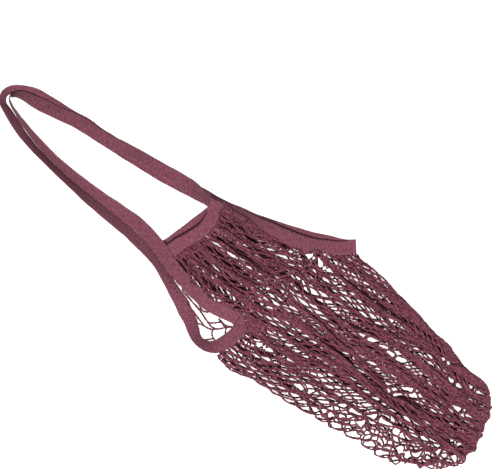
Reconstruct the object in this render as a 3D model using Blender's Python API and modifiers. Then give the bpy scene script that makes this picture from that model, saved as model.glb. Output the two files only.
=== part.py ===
"""String shopping bag: a coarse cotton net tube, gathered at its mouth by two knitted bands.

One endless knitted tape edges both side slits and runs on as the two shoulder handles.
The bag lies empty on its back wall. +Y runs to the handles' tip, +Z is up, and the origin is
the middle of the whole bag's footprint, on the surface that it lies on. Units are metres.
"""
import math

import bmesh
import bpy
from mathutils import Vector

# Driving sizes
HANDLE_DROP = 0.320
HANDLE_SPREAD = 0.100
BODY_WIDTH = 0.222
BODY_LENGTH = 0.500
LEFT_SLIT_DEPTH = 0.138
RIGHT_SLIT_DEPTH = 0.204
LOFT = 0.012
TAPE_WIDTH = 0.019
TAPE_THICKNESS = 0.002
BAND_HEIGHT = 0.0175
NET_WALL = 0.002
BUNDLE_WIDTH = 0.010
SIDE_ROUND = 0.010
RIM_BLEND = 0.030

# Clearances: along a sewn seam, and between two layers that lie on each other
SEAM_GAP = 0.0008
LAYER_GAP = 0.0004

# The net's half cells: around the tube, along it, and the parts of it that the slits take
COLUMNS = 28
ROWS = 8
FRONT_COLUMNS = COLUMNS // 2
SLIT_COLUMNS = 4
SLIT_ROWS = 2
RIGHT_SLIT_START = FRONT_COLUMNS - SLIT_COLUMNS // 2
RIGHT_SLIT_END = FRONT_COLUMNS + SLIT_COLUMNS // 2

# Steps of the smooth curves, and the longest step along a seam
CURVE_STEPS = 2
FOLD_STEPS = 4
SEAM_STEP = 0.005

# Where the tape's net edge turns from a slit's side to its closed end, as a share of the depth
FRONT_TURN = 0.84
BACK_TURN = 0.80
# Where the back net leaves the left slit's edge, as a share of the depth
LEFT_TURN = 0.60

# The tape, row by row in its direction of travel. Zones: "left" and "right" are the slits, with
# across in shares of half the body width and along in shares of that slit's depth; "handle" has
# across in shares of half the handle spread and along in shares of the handle drop.
# mark: which line of the tape the place is for, -1 left-hand edge, 0 middle, 1 right-hand edge
# roll: degrees that the right-hand edge is tipped up
# rise: height of the lower edge, in shares of the loft, or of the tape's width in the handles
# layers: how many layers of tape lie under it
FRONT_RUN = (
    # zone, across, along, mark, roll, rise, layers
    ("left", -0.61, -1.00, 0, 0, 0.58, 0),
    ("left", -0.62, -0.885, 0, 0, 0.58, 0),
    ("left", -0.65, -0.755, 0, 8, 0.62, 0),
    ("left", -0.68, -0.61, 0, 25, 0.58, 0),
    ("left", -0.66, -0.48, 0, 22, 0.67, 0),
    ("left", -0.625, -0.35, 0, 8, 0.75, 0),
    ("left", -0.595, -0.23, 0, 0, 0.83, 0),
    ("left", -0.55, -0.09, 0, 0, 0.88, 0),
    ("handle", -1.11, 0.01, 0, 0, 0.55, 0),
    ("handle", -1.01, 0.05, 0, 0, 0.50, 0),
    ("handle", -0.92, 0.10, 0, 5, 0.37, 0),
    ("handle", -0.85, 0.15, 0, 8, 0.21, 0),
    ("handle", -0.99, 0.20, -1, 12, 0.05, 0),
    ("handle", -0.98, 0.26, -1, 18, 0, 0),
    ("handle", -0.95, 0.325, -1, 28, 0, 0),
    ("handle", -0.93, 0.39, -1, 37, 0, 0),
    ("handle", -0.90, 0.45, -1, 43, 0, 0),
    ("handle", -0.87, 0.51, -1, 47, 0, 0),
    ("handle", -0.83, 0.575, -1, 49, 0, 0),
    ("handle", -0.77, 0.64, -1, 54, 0, 0),
    ("handle", -0.71, 0.695, -1, 55, 0, 0),
    ("handle", -0.63, 0.75, -1, 56, 0, 0),
    ("handle", -0.52, 0.805, -1, 62, 0, 0),
    ("handle", -0.43, 0.845, -1, 65, 0, 0),
    ("handle", -0.35, 0.88, -1, 69, 0, 0),
    ("handle", -0.26, 0.905, -1, 74, 0, 0),
    ("handle", -0.19, 0.932, -1, 76, 0, 0),
    ("handle", -0.11, 0.953, -1, 77, 0, 0),
    ("handle", -0.02, 0.969, -1, 79, 0.02, 0),
    ("handle", 0.09, 0.972, -1, 76, 0.16, 0),
    ("handle", 0.20, 0.965, -1, 66, 0.35, 0),
    ("handle", 0.31, 0.953, -1, 57, 0.53, 0),
    ("handle", 0.40, 0.935, -1, 50, 0.52, 0),
    ("handle", 0.45, 0.906, -1, 46, 0.45, 0),
    ("handle", 0.495, 0.875, -1, 34, 0.34, 0),
    ("handle", 0.545, 0.8375, -1, 25, 0.24, 0),
    ("handle", 0.58, 0.80, -1, 25, 0.03, 1),
    ("handle", 0.625, 0.76, -1, 24, 0.02, 1),
    ("handle", 0.70, 0.71, -1, 17, 0.02, 1),
    ("handle", 0.75, 0.665, -1, 18, 0.02, 1),
    ("handle", 0.765, 0.61, -1, 20, 0.02, 1),
    ("handle", 0.785, 0.545, -1, 18, 0.02, 1),
    ("handle", 0.82, 0.49, -1, 15, 0.02, 1),
    ("handle", 0.875, 0.4375, -1, 20, 0.02, 1),
    ("handle", 0.91, 0.3875, -1, 30, 0.02, 1),
    ("handle", 0.955, 0.33, -1, 30, 0.02, 1),
    ("handle", 0.985, 0.275, -1, 20, 0.02, 1),
    ("handle", 1.02, 0.22, -1, 12, 0.02, 1),
    ("handle", 1.06, 0.155, -1, 10, 0.02, 1),
    ("handle", 1.085, 0.105, -1, 15, 0.02, 1),
    ("handle", 1.055, 0.06, -1, 35, 0.02, 1),
    ("handle", 1.02, 0.025, -1, 42, 0.02, 1),
    ("right", 0.465, -0.02, -1, 43, 0.02, 1),
    ("right", 0.49, -0.09, -1, 44, 0.02, 1),
    ("right", 0.515, -0.165, -1, 45, 0.02, 1),
    ("right", 0.54, -0.245, -1, 45, 0.05, 1),
    ("right", 0.57, -0.333, -1, 35, 0.22, 1),
    ("right", 0.61, -0.44, -1, 20, 0.45, 1),
    ("right", 0.65, -0.54, -1, 15, 0.45, 1),
    ("right", 0.695, -0.64, -1, 12, 0.42, 1),
    ("right", 0.75, -0.735, -1, 15, 0.35, 1),
    ("right", 0.835, -0.824, -1, 15, 0.26, 1),
    ("right", 0.92, -0.902, -1, 8, 0.18, 1),
    ("right", 0.97, -1.00, 0, 0, 0.17, 1),
)
BACK_RUN = (
    # zone, across, along, mark, roll, rise, layers
    ("right", 0.97, -1.00, 0, 0, 0.02, 0),
    ("right", 0.975, -0.92, 1, 0, 0, 0),
    ("right", 0.915, -0.83, 1, 0, 0, 0),
    ("right", 0.85, -0.75, 1, 0, 0, 0),
    ("right", 0.79, -0.667, 1, 0, 0, 0),
    ("right", 0.74, -0.583, 1, 0, 0, 0),
    ("right", 0.697, -0.51, 1, 0, 0, 0),
    ("right", 0.65, -0.417, 1, 0, 0, 0),
    ("right", 0.60, -0.333, 1, 0, 0, 0),
    ("right", 0.48, -0.235, 0, 0, 0, 0),
    ("right", 0.44, -0.137, 0, 0, 0, 0),
    ("right", 0.413, -0.05, 0, 0, 0, 0),
    ("handle", 0.71, 0.0125, -1, 0, 0, 0),
    ("handle", 0.665, 0.0625, -1, 0, 0, 0),
    ("handle", 0.61, 0.12, -1, 0, 0, 0),
    ("handle", 0.56, 0.18, -1, 0, 0, 0),
    ("handle", 0.52, 0.25, -1, 0, 0, 0),
    ("handle", 0.49, 0.325, -1, 0, 0, 0),
    ("handle", 0.46, 0.405, -1, 0, 0, 0),
    ("handle", 0.445, 0.4875, -1, 0, 0, 0),
    ("handle", 0.43, 0.57, -1, 0, 0, 0),
    ("handle", 0.44, 0.64, -1, 0, 0, 0),
    ("handle", 0.765, 0.694, 1, 0, 0, 0),
    ("handle", 0.75, 0.75, 1, 0, 0, 0),
    ("handle", 0.738, 0.797, 1, 0, 0, 0),
    ("handle", 0.72, 0.84, 1, 4, 0, 0),
    ("handle", 0.688, 0.881, 1, 12, 0, 0),
    ("handle", 0.61, 0.92, 1, 25, 0, 0),
    ("handle", 0.50, 0.952, 1, 40, 0, 0),
    ("handle", 0.366, 0.98, 1, 54, 0, 0),
    ("handle", 0.21, 0.997, 1, 66, 0, 0),
    ("handle", 0.05, 1.003, 1, 70, 0, 0),
    ("handle", -0.11, 0.998, 1, 71, 0, 0),
    ("handle", -0.25, 0.983, 1, 71, 0, 0),
    ("handle", -0.35, 0.956, 1, 70, 0, 0),
    ("handle", -0.43, 0.931, 1, 70, 0, 0),
    ("handle", -0.55, 0.89, 1, 65, 0, 0),
    ("handle", -0.66, 0.847, 1, 63, 0, 0),
    ("handle", -0.75, 0.797, 1, 66, 0, 0),
    ("handle", -0.826, 0.746, 1, 69, 0, 0),
    ("handle", -0.885, 0.689, 1, 72, 0, 0),
    ("handle", -0.95, 0.631, 1, 71, 0, 0),
    ("handle", -1.01, 0.575, 1, 69, 0, 0),
    ("handle", -1.065, 0.5125, 1, 66, 0, 0),
    ("handle", -1.13, 0.45, 1, 62, 0, 0),
    ("handle", -1.182, 0.38, 1, 59, 0, 0),
    ("handle", -1.222, 0.32, 1, 54, 0, 0),
    ("handle", -1.252, 0.256, 1, 55, 0, 0),
    ("handle", -1.28, 0.206, 1, 49, 0, 0),
    ("handle", -1.335, 0.16, 1, 41, 0, 0),
    ("handle", -1.385, 0.1125, 1, 40, 0, 0),
    ("handle", -1.44, 0.0625, 1, 45, 0, 0),
    ("handle", -1.525, 0.019, 1, 46, 0, 0),
    ("left", -0.743, -0.05, 1, 44, 0, 0),
    ("left", -0.806, -0.145, 1, 40, 0, 0),
    ("left", -0.87, -0.24, 1, 30, 0, 0),
    ("left", -0.932, -0.333, 1, 20, 0, 0),
    ("left", -0.995, -0.42, 1, 16, 0, 0),
    ("left", -1.05, -0.514, 1, 24, 0.04, 0),
    ("left", -1.117, -0.60, 1, 34, 0.13, 0),
    ("left", -1.165, -0.68, 1, 46, 0.27, 0),
    ("left", -1.18, -0.77, 1, 52, 0.45, 0),
    ("left", -1.165, -0.86, 1, 45, 0.65, 0),
    ("left", -1.12, -0.94, 1, 30, 0.79, 0),
    ("left", -0.964, -0.953, 0, 12, 0.65, 1),
    ("left", -0.856, -0.985, 0, 5, 0.65, 1),
    ("left", -0.75, -1.00, 0, 0, 0.65, 1),
    ("left", -0.61, -1.00, 0, 0, 0.65, 1),
)

# The mouth bands' middle lines, left to right, in shares of half the handle spread
FRONT_BAND = (
    # across, along
    (-0.60, -0.04),
    (-0.40, -0.14),
    (-0.20, -0.235),
    (0.00, -0.315),
    (0.20, -0.365),
    (0.40, -0.375),
    (0.60, -0.34),
)
FRONT_BAND_ENDS = (0.05, -0.25)
BACK_BAND = (
    # across, along
    (-0.80, 0.22),
    (-0.30, 0.05),
    (0.20, -0.11),
)
BACK_BAND_ENDS = (0.36, -0.26)

# The net's outline, in shares of half the body width and of the body length
LEFT_CORNER = (-1.145, -0.268)
LEFT_SIDE = (
    # across, along
    (-1.165, -0.32),
    (-1.12, -0.40),
    (-1.11, -0.50),
    (-1.085, -0.60),
    (-1.07, -0.70),
    (-1.03, -0.80),
    (-0.93, -0.865),
)
RIGHT_SIDE = (
    # across, along
    (0.885, -0.465),
    (0.825, -0.57),
    (0.735, -0.66),
    (0.65, -0.715),
    (0.605, -0.78),
    (0.535, -0.83),
    (0.50, -0.875),
)
FOOT = (
    # across, along
    (-0.79, -0.905),
    (-0.69, -0.95),
    (-0.56, -0.98),
    (-0.40, -0.996),
    (-0.14, -0.998),
    (0.00, -0.991),
    (0.25, -0.978),
    (0.38, -0.957),
    (0.45, -0.94),
    (0.49, -0.912),
)

# Lengthwise gathers of the front wall: place and width in shares of its width, height in loft
GATHERS = (
    # place, width, height
    (0.22, 0.12, -0.22),
    (0.40, 0.12, 0.20),
    (0.53, 0.08, -0.12),
    (0.66, 0.10, -0.16),
    (0.80, 0.10, 0.14),
)

# Colours: cotton of the tape and bands, and of the net's strings
TAPE_COLOUR = (0.26, 0.085, 0.13, 1.0)
NET_COLOUR = (0.21, 0.062, 0.10, 1.0)


def clear_scene():
    """Remove every object of the open scene."""
    for old in list(bpy.data.objects):
        bpy.data.objects.remove(old, do_unlink=True)


def cotton(name, colour, roughness):
    """A dull cotton material."""
    material = bpy.data.materials.new(name)
    material.use_nodes = True
    shader = material.node_tree.nodes["Principled BSDF"]
    shader.inputs["Base Color"].default_value = colour
    shader.inputs["Roughness"].default_value = roughness
    shader.inputs["Metallic"].default_value = 0.0
    return material


def ease(share):
    """A smooth step from 0 to 1."""
    share = min(1.0, max(0.0, share))
    return share * share * (3.0 - 2.0 * share)


def smooth_line(points, steps):
    """A smooth curve through the points, with the same steps between each two."""
    spans = [(b - a).length for a, b in zip(points, points[1:])]
    slopes = [(b - a) / span for a, b, span in zip(points, points[1:], spans)]
    tangents = [slopes[0]]
    for before, after, one, two in zip(slopes, slopes[1:], spans, spans[1:]):
        tangents.append((before * two + after * one) / (one + two))
    tangents.append(slopes[-1])
    line = []
    for index, span in enumerate(spans):
        for step in range(steps):
            t = step / steps
            line.append(points[index] * (2 * t**3 - 3 * t**2 + 1)
                        + tangents[index] * span * (t**3 - 2 * t**2 + t)
                        + points[index + 1] * (3 * t**2 - 2 * t**3)
                        + tangents[index + 1] * span * (t**3 - t**2))
    line.append(points[-1])
    return line


def along_line(line, share):
    """The point at a share of a line's length."""
    spans = [(b - a).length for a, b in zip(line, line[1:])]
    left = min(1.0, max(0.0, share)) * sum(spans)
    for a, b, span in zip(line, line[1:], spans):
        if left <= span and span > 0.0:
            return a.lerp(b, left / span)
        left -= span
    return line[-1].copy()


def place_in_zone(zone, across, along):
    """A place in the plan from its zone's shares."""
    half_body = BODY_WIDTH / 2
    if zone == "handle":
        return Vector((across * HANDLE_SPREAD / 2, along * HANDLE_DROP, 0.0))
    depth = LEFT_SLIT_DEPTH if zone == "left" else RIGHT_SLIT_DEPTH
    return Vector((across * half_body, along * depth, 0.0))


def left_hand(direction):
    """The plan direction to the left of a direction of travel."""
    return Vector((-direction.y, direction.x, 0.0)).normalized()


def run_frames(rows):
    """Each row's middle in the plan, its direction of travel, its roll and its lower height."""
    marks = [row[3] for row in rows]
    rolls = [math.radians(row[4]) for row in rows]
    lows = []
    for zone, across, along, mark, roll, rise, layers in rows:
        scale = TAPE_WIDTH if zone == "handle" else LOFT
        lows.append(rise * scale + layers * (TAPE_THICKNESS + LAYER_GAP) + TAPE_THICKNESS / 2)
    given = [place_in_zone(row[0], row[1], row[2]) for row in rows]
    middles = [place.copy() for place in given]
    for settling in range(6):
        ahead = middles[1:] + middles[-1:]
        behind = middles[:1] + middles[:-1]
        travels = [(b - a).normalized() for a, b in zip(behind, ahead)]
        middles = [place + left_hand(travel) * mark * TAPE_WIDTH / 2 * math.cos(roll)
                   for place, travel, mark, roll in zip(given, travels, marks, rolls)]
    return middles, travels, rolls, lows


def fold_line(travel_in, travel_out):
    """The way that a fold points, and the plan direction of its crease."""
    outward = (travel_in - travel_out).normalized()
    return outward, left_hand(outward)


def run_edges(frames, first_crease, last_crease):
    """The left-hand and right-hand edges of one run of tape, between its two creases."""
    middles, travels, rolls, lows = frames
    lefts, rights = [], []
    for index, (middle, travel, roll, low) in enumerate(zip(middles, travels, rolls, lows)):
        normal = left_hand(travel)
        ruling = normal
        if index == 0:
            ruling = first_crease
        if index == len(middles) - 1:
            ruling = last_crease
        facing = ruling.dot(normal)
        reach = ruling / facing * TAPE_WIDTH / 2 * math.cos(roll)
        lefts.append(middle + reach + Vector((0.0, 0.0, low)))
        rights.append(middle - reach + Vector((0.0, 0.0, low + TAPE_WIDTH * math.sin(roll))))
    edges = smooth_line(lefts, CURVE_STEPS), smooth_line(rights, CURVE_STEPS)
    for point in edges[0] + edges[1]:
        point.z = max(point.z, TAPE_THICKNESS / 2)
    return edges


def fold_sections(before, after, outward):
    """Sections of the tape around a fold, between the last section before it and the next."""
    bend = 0.7 * (TAPE_THICKNESS + LAYER_GAP)
    sections = []
    for step in range(1, FOLD_STEPS):
        angle = math.pi * (0.5 - step / FOLD_STEPS)
        section = []
        for one, two in zip(before, after):
            middle = (one + two) / 2
            section.append(middle + (one - two) / 2 * math.sin(angle) + outward * bend * math.cos(angle))
        sections.append(section)
    return sections


def tape_lines():
    """The tape's two runs as lists of (net edge, free edge) pairs, with both folds."""
    front = run_frames(FRONT_RUN)
    back = run_frames(BACK_RUN)
    right_out, right_crease = fold_line(front[1][-1], back[1][0])
    left_out, left_crease = fold_line(back[1][-1], front[1][0])
    front_left, front_right = run_edges(front, left_crease, right_crease)
    back_left, back_right = run_edges(back, right_crease, left_crease)
    front_pairs = list(zip(front_right, front_left))
    back_pairs = list(zip(back_left, back_right))
    right_fold = fold_sections(front_pairs[-1], back_pairs[0], right_out)
    left_fold = fold_sections(back_pairs[-1], front_pairs[0], left_out)
    return front_pairs, right_fold, back_pairs, left_fold


def seam_line(pairs, on_net_side):
    """The line where a cloth edge meets the tape, one seam gap outside the tape's edge."""
    line = []
    for net_point, free_point in pairs:
        edge, other = (net_point, free_point) if on_net_side else (free_point, net_point)
        away = edge - other
        tilt = abs(away.z) / away.length
        away.z = 0.0
        line.append(edge + away.normalized() * (SEAM_GAP + TAPE_THICKNESS / 2 * tilt))
    return line


def cut_line(line, along):
    """The start of a line, up to where it first passes a place along Y."""
    side = line[0].y < along
    for index, (a, b) in enumerate(zip(line, line[1:])):
        if (b.y < along) != side:
            return line[:index + 1] + [a.lerp(b, (along - a.y) / (b.y - a.y))]
    return list(line)


def piece_of_line(line, start, end):
    """The part of a line between its first passes of two places along Y."""
    whole = cut_line(line, end)
    before = cut_line(whole, start)
    return [before[-1]] + whole[len(before) - 1:]


def mouth_band_edges(rows, left_seam, right_seam, ends):
    """The upper and lower edges of a mouth band, whose ends lie along the tape."""
    half = BAND_HEIGHT / 2
    scale = HANDLE_SPREAD / 2
    left_end, right_end = ends[0] * scale, ends[1] * scale
    left_upper = cut_line(left_seam, left_end + half)[-1]
    left_lower = cut_line(left_seam, left_end - half)[-1]
    right_upper = cut_line(right_seam, right_end + half)[-1]
    right_lower = cut_line(right_seam, right_end - half)[-1]
    left_middle = (left_upper + left_lower) / 2
    right_middle = (right_upper + right_lower) / 2
    middles = [left_middle]
    for across, along in rows:
        share = (across * scale - left_middle.x) / (right_middle.x - left_middle.x)
        height = left_middle.z + (right_middle.z - left_middle.z) * share
        middles.append(Vector((across * scale, along * scale, height)))
    middles.append(right_middle)
    upper, lower = [left_upper], [left_lower]
    for before, middle, after in zip(middles, middles[1:], middles[2:]):
        normal = left_hand(after - before)
        upper.append(middle + normal * half)
        lower.append(middle - normal * half)
    upper.append(right_upper)
    lower.append(right_lower)
    return smooth_line(upper, CURVE_STEPS), smooth_line(lower, CURVE_STEPS)


def raised_line(start, end, height):
    """A line between two points whose middle stretch lies at its own height."""
    line = [start]
    for share in (0.12, 0.5, 0.88):
        point = start.lerp(end, share)
        point.z = height
        line.append(point)
    line.append(end)
    return smooth_line(line, 4)


def outline_line(start, rows, end, height):
    """A side or foot line of the net, from its rows of shares."""
    points = [start] if start is not None else []
    for across, along in rows:
        points.append(Vector((across * BODY_WIDTH / 2, along * BODY_LENGTH, height)))
    if end is not None:
        points.append(end)
    return smooth_line(points, 4)


class Patch:
    """A four-sided stretch of the net's wall, spanned between its border lines."""

    def __init__(self, top, bottom, left, right):
        self.top, self.bottom, self.left, self.right = top, bottom, left, right

    def point(self, across, down):
        """The place at shares across (left to right) and down (top to bottom)."""
        top, bottom = self.top(across), self.bottom(across)
        left, right = self.left(down), self.right(down)
        ends = (self.top(0.0) * (1 - across) + self.top(1.0) * across) * (1 - down)
        ends += (self.bottom(0.0) * (1 - across) + self.bottom(1.0) * across) * down
        return top * (1 - down) + bottom * down + left * (1 - across) + right * across - ends


def line_of(points):
    """A line as a function of the share of its length."""
    return lambda share: along_line(points, share)


def joined_lines(pieces, columns):
    """Several lines one after the other, each taking its own number of columns."""
    total = sum(columns)

    def point(share):
        place = share * total
        for piece, count in zip(pieces, columns):
            if place <= count:
                return along_line(piece, place / count)
            place -= count
        return pieces[-1][-1].copy()
    return point


def net_patches(tape, front_band_lower, back_band_lower):
    """The net's four patches, bordered by the tape, the mouth bands, the sides and the foot."""
    front_pairs, right_fold, back_pairs, left_fold = tape
    bend = left_fold[FOLD_STEPS // 2 - 1]
    wall_middle = NET_WALL / 2
    side_height = wall_middle + LOFT / 2
    top_height = wall_middle + LOFT
    right_bend = right_fold[FOLD_STEPS // 2 - 1][0]
    half_body = BODY_WIDTH / 2

    front_net = seam_line(front_pairs, True)
    back_net = seam_line(back_pairs, True)
    band_free = seam_line(back_pairs, False)

    crease = bend[0] - bend[1]
    outward = Vector((crease.y, -crease.x, 0.0)).normalized()
    clear = TAPE_THICKNESS / 2 + SEAM_GAP
    left_corner = Vector((LEFT_CORNER[0] * half_body, LEFT_CORNER[1] * BODY_LENGTH, wall_middle))
    under_band = [point for point in band_free[len(band_free) // 2:]
                  if point.y < left_corner.y and point.x > left_corner.x]
    crease_low = bend[1] + outward * clear
    crease_high = bend[0] + outward * clear + crease.normalized() * SEAM_GAP
    under_band = [point for point in under_band if point.x < crease_low.x - SEAM_STEP / 2]
    notch_bottom = [left_corner] + under_band + [crease_low]
    notch_crease = [crease_low, crease_high]

    front_left = cut_line(front_net, front_band_lower[0].y)
    front_left = [crease_high] + [point for point in front_left if point.y > crease_high.y + SEAM_STEP / 2]
    front_right = list(reversed(front_net[len(front_net) // 2:]))
    right_corner = right_bend + (front_net[-1] - front_pairs[-1][0]) * 2
    turn = -FRONT_TURN * RIGHT_SLIT_DEPTH
    front_down = list(reversed(piece_of_line(front_right, turn, front_band_lower[-1].y)))
    front_end = list(reversed(cut_line(front_right, turn)))[:-1] + [right_corner]

    back_right = back_net[:len(back_net) // 2]
    turn = -BACK_TURN * RIGHT_SLIT_DEPTH
    back_end = [right_corner] + cut_line(back_right, turn)[1:]
    back_up = piece_of_line(back_right, turn, back_band_lower[-1].y)
    back_left = back_net[len(back_net) // 2:]
    back_down = piece_of_line(back_left, back_band_lower[0].y, -LEFT_TURN * LEFT_SLIT_DEPTH)
    back_down = smooth_line(back_down + [left_corner], 2)

    foot = outline_line(None, FOOT, None, side_height)
    left_side = outline_line(left_corner, LEFT_SIDE, foot[0], side_height)
    right_side = outline_line(right_corner, RIGHT_SIDE, foot[-1], side_height)
    front_middle = raised_line(crease_high, front_down[-1], top_height)
    back_middle = raised_line(back_up[0], left_corner, wall_middle)
    foot_back = list(reversed(foot))

    front_top = Patch(line_of(front_band_lower), line_of(front_middle),
                      line_of(list(reversed(front_left))), line_of(front_down))
    front_low = Patch(joined_lines((notch_bottom, notch_crease, front_middle, front_end),
                                   (SLIT_COLUMNS // 2, SLIT_COLUMNS // 2,
                                    RIGHT_SLIT_START - SLIT_COLUMNS,
                                    FRONT_COLUMNS - RIGHT_SLIT_START)),
                      line_of(foot), line_of(left_side), line_of(right_side))
    back_top = Patch(line_of(list(reversed(back_band_lower))), line_of(back_middle),
                     line_of(list(reversed(back_up))), line_of(back_down))
    back_low = Patch(joined_lines((back_end, back_middle),
                                  (RIGHT_SLIT_END - FRONT_COLUMNS, COLUMNS - RIGHT_SLIT_END)),
                     line_of(foot_back), line_of(right_side), line_of(left_side))
    return front_top, front_low, back_top, back_low


def gather_height(across, down):
    """How far a lengthwise gather lifts or lowers the front wall."""
    fade = ease(down * 4.0) * ease((1.0 - down) * 5.0)
    height = 0.0
    for place, width, lift in GATHERS:
        height += lift * LOFT * math.exp(-((across - place) / (width / 2)) ** 2)
    return height * fade


def wall_point(patches, column, row):
    """The place of a point of the net, from its column around and its row along the tube."""
    front_top, front_low, back_top, back_low = patches
    on_front = column <= FRONT_COLUMNS
    if row < SLIT_ROWS:
        if on_front:
            first, last, patch = SLIT_COLUMNS, RIGHT_SLIT_START, front_top
        else:
            first, last, patch = RIGHT_SLIT_END, COLUMNS, back_top
        point = patch.point((column - first) / (last - first), row / SLIT_ROWS)
        if not on_front:
            point.z = NET_WALL / 2
        return point
    patch = front_low if on_front else back_low
    across = (column if on_front else column - FRONT_COLUMNS) / FRONT_COLUMNS
    down = (row - SLIT_ROWS) / (ROWS - SLIT_ROWS)
    point = patch.point(across, down)
    from_side = min(across, 1.0 - across) * BODY_WIDTH
    from_foot = (ROWS - row) / ROWS * BODY_LENGTH
    belly = math.sin(math.pi / 2 * min(1.0, from_side / SIDE_ROUND))
    belly *= math.sin(math.pi / 2 * min(1.0, from_foot / SIDE_ROUND))
    side_height = (NET_WALL + LOFT) / 2
    if on_front:
        height = side_height + LOFT / 2 * belly + gather_height(across, down) * belly
    else:
        height = side_height - LOFT / 2 * belly
    from_rim = (row - SLIT_ROWS) / ROWS * BODY_LENGTH
    blend = ease(from_rim / RIM_BLEND)
    point.z = patch.top(across).z * (1 - blend) + height * blend
    return point


def flat_net():
    """The net laid out flat: ribbons of gathered strings around diamond gaps."""
    net = bmesh.new()
    bmesh.ops.create_grid(net, x_segments=COLUMNS, y_segments=ROWS, size=1.0)
    for vert in net.verts:
        vert.co.x = round((vert.co.x + 1.0) / 2 * COLUMNS)
        vert.co.y = round((1.0 - vert.co.y) / 2 * ROWS)

    def in_slit(face):
        centre = face.calc_center_median()
        left = centre.x < SLIT_COLUMNS
        right = RIGHT_SLIT_START < centre.x < RIGHT_SLIT_END
        return centre.y < SLIT_ROWS and (left or right)

    slit_faces = [face for face in net.faces if in_slit(face)]
    bmesh.ops.delete(net, geom=slit_faces, context="FACES")

    def is_knot(vert):
        return round(vert.co.x + vert.co.y) % 2 == 0

    for face in list(net.faces):
        knots = [vert for vert in face.verts if is_knot(vert)]
        bmesh.utils.face_split(face, knots[0], knots[1])
    bmesh.ops.dissolve_verts(net, verts=[vert for vert in net.verts if not is_knot(vert)])

    column_pitch = BODY_WIDTH / FRONT_COLUMNS
    row_pitch = BODY_LENGTH / ROWS
    for vert in net.verts:
        vert.co.x *= column_pitch
        vert.co.y *= row_pitch
    cells = list(net.faces)
    lattice = list(net.edges)
    borders = [edge for edge in lattice if edge.is_boundary]
    bmesh.ops.inset_individual(net, faces=cells, thickness=BUNDLE_WIDTH / 2, use_even_offset=True)
    bmesh.ops.delete(net, geom=cells, context="FACES")

    def with_opposites(edge):
        """A lattice edge and the gap edges beside it."""
        edges = [edge]
        for loop in edge.link_loops:
            edges.append(loop.link_loop_next.link_loop_next.edge)
        return edges

    inner = [edge for edge in lattice if edge not in borders]
    border_groups = [with_opposites(edge) for edge in borders]
    inner_edges = list(dict.fromkeys(part for edge in inner for part in with_opposites(edge)))
    bmesh.ops.subdivide_edges(net, edges=inner_edges, cuts=1, use_grid_fill=True)
    for group in border_groups:
        cuts = max(1, round(group[0].calc_length() / SEAM_STEP) - 1)
        bmesh.ops.subdivide_edges(net, edges=group, cuts=cuts, use_grid_fill=True)
    return net, column_pitch, row_pitch


def add_object(name, mesh_data, material, thickness, collection, even=True):
    """A named cloth piece: an open surface made solid."""
    mesh = bpy.data.meshes.new(name)
    mesh_data.to_mesh(mesh)
    mesh_data.free()
    mesh.materials.append(material)
    piece = bpy.data.objects.new(name, mesh)
    collection.objects.link(piece)
    solid = piece.modifiers.new("wall", "SOLIDIFY")
    solid.thickness = thickness
    solid.offset = 0.0
    solid.use_even_offset = even
    return piece


def strip(sections, closed):
    """A strip of faces through sections of two points each."""
    surface = bmesh.new()
    rows = [[surface.verts.new(point) for point in section] for section in sections]
    pairs = list(zip(rows, rows[1:]))
    if closed:
        pairs.append((rows[-1], rows[0]))
    for one, two in pairs:
        surface.faces.new((one[0], one[1], two[1], two[0]))
    return surface


def make_handle_tape(tape, material, collection):
    """The endless tape that edges the slits and makes both handles."""
    front_pairs, right_fold, back_pairs, left_fold = tape
    sections = front_pairs + right_fold + back_pairs + left_fold
    return add_object("handle_tape", strip(sections, True), material, TAPE_THICKNESS, collection)


def make_mouth_band(name, edges, material, collection):
    """A mouth band between the two sides of the tape."""
    surface = strip(list(zip(edges[0], edges[1])), False)
    return add_object(name, surface, material, TAPE_THICKNESS, collection)


def make_net_body(patches, material, collection):
    """The net tube, wrapped from its flat layout and closed along its side and foot."""
    net, column_pitch, row_pitch = flat_net()
    for vert in net.verts:
        vert.co = wall_point(patches, vert.co.x / column_pitch, vert.co.y / row_pitch)
    bmesh.ops.remove_doubles(net, verts=net.verts, dist=0.00002)
    return add_object("net_body", net, material, NET_WALL, collection, even=False)


def offset_line(line, other):
    """A band's edge moved one seam gap away from the band."""
    moved = []
    for point, far in zip(line, other):
        away = point - far
        away.z = 0.0
        moved.append(point + away.normalized() * SEAM_GAP)
    return moved


def stand_on_origin(pieces, collection):
    """Parent the pieces to an empty that puts the footprint's middle at the origin."""
    bpy.context.view_layer.update()
    graph = bpy.context.evaluated_depsgraph_get()
    corners = []
    for piece in pieces:
        evaluated = piece.evaluated_get(graph)
        corners += [evaluated.matrix_world @ Vector(corner) for corner in evaluated.bound_box]
    low = Vector([min(corner[axis] for corner in corners) for axis in range(3)])
    high = Vector([max(corner[axis] for corner in corners) for axis in range(3)])
    root = bpy.data.objects.new("bag_frame", None)
    collection.objects.link(root)
    root.location = (-(low.x + high.x) / 2, -(low.y + high.y) / 2, -low.z)
    for piece in pieces:
        piece.parent = root


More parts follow.
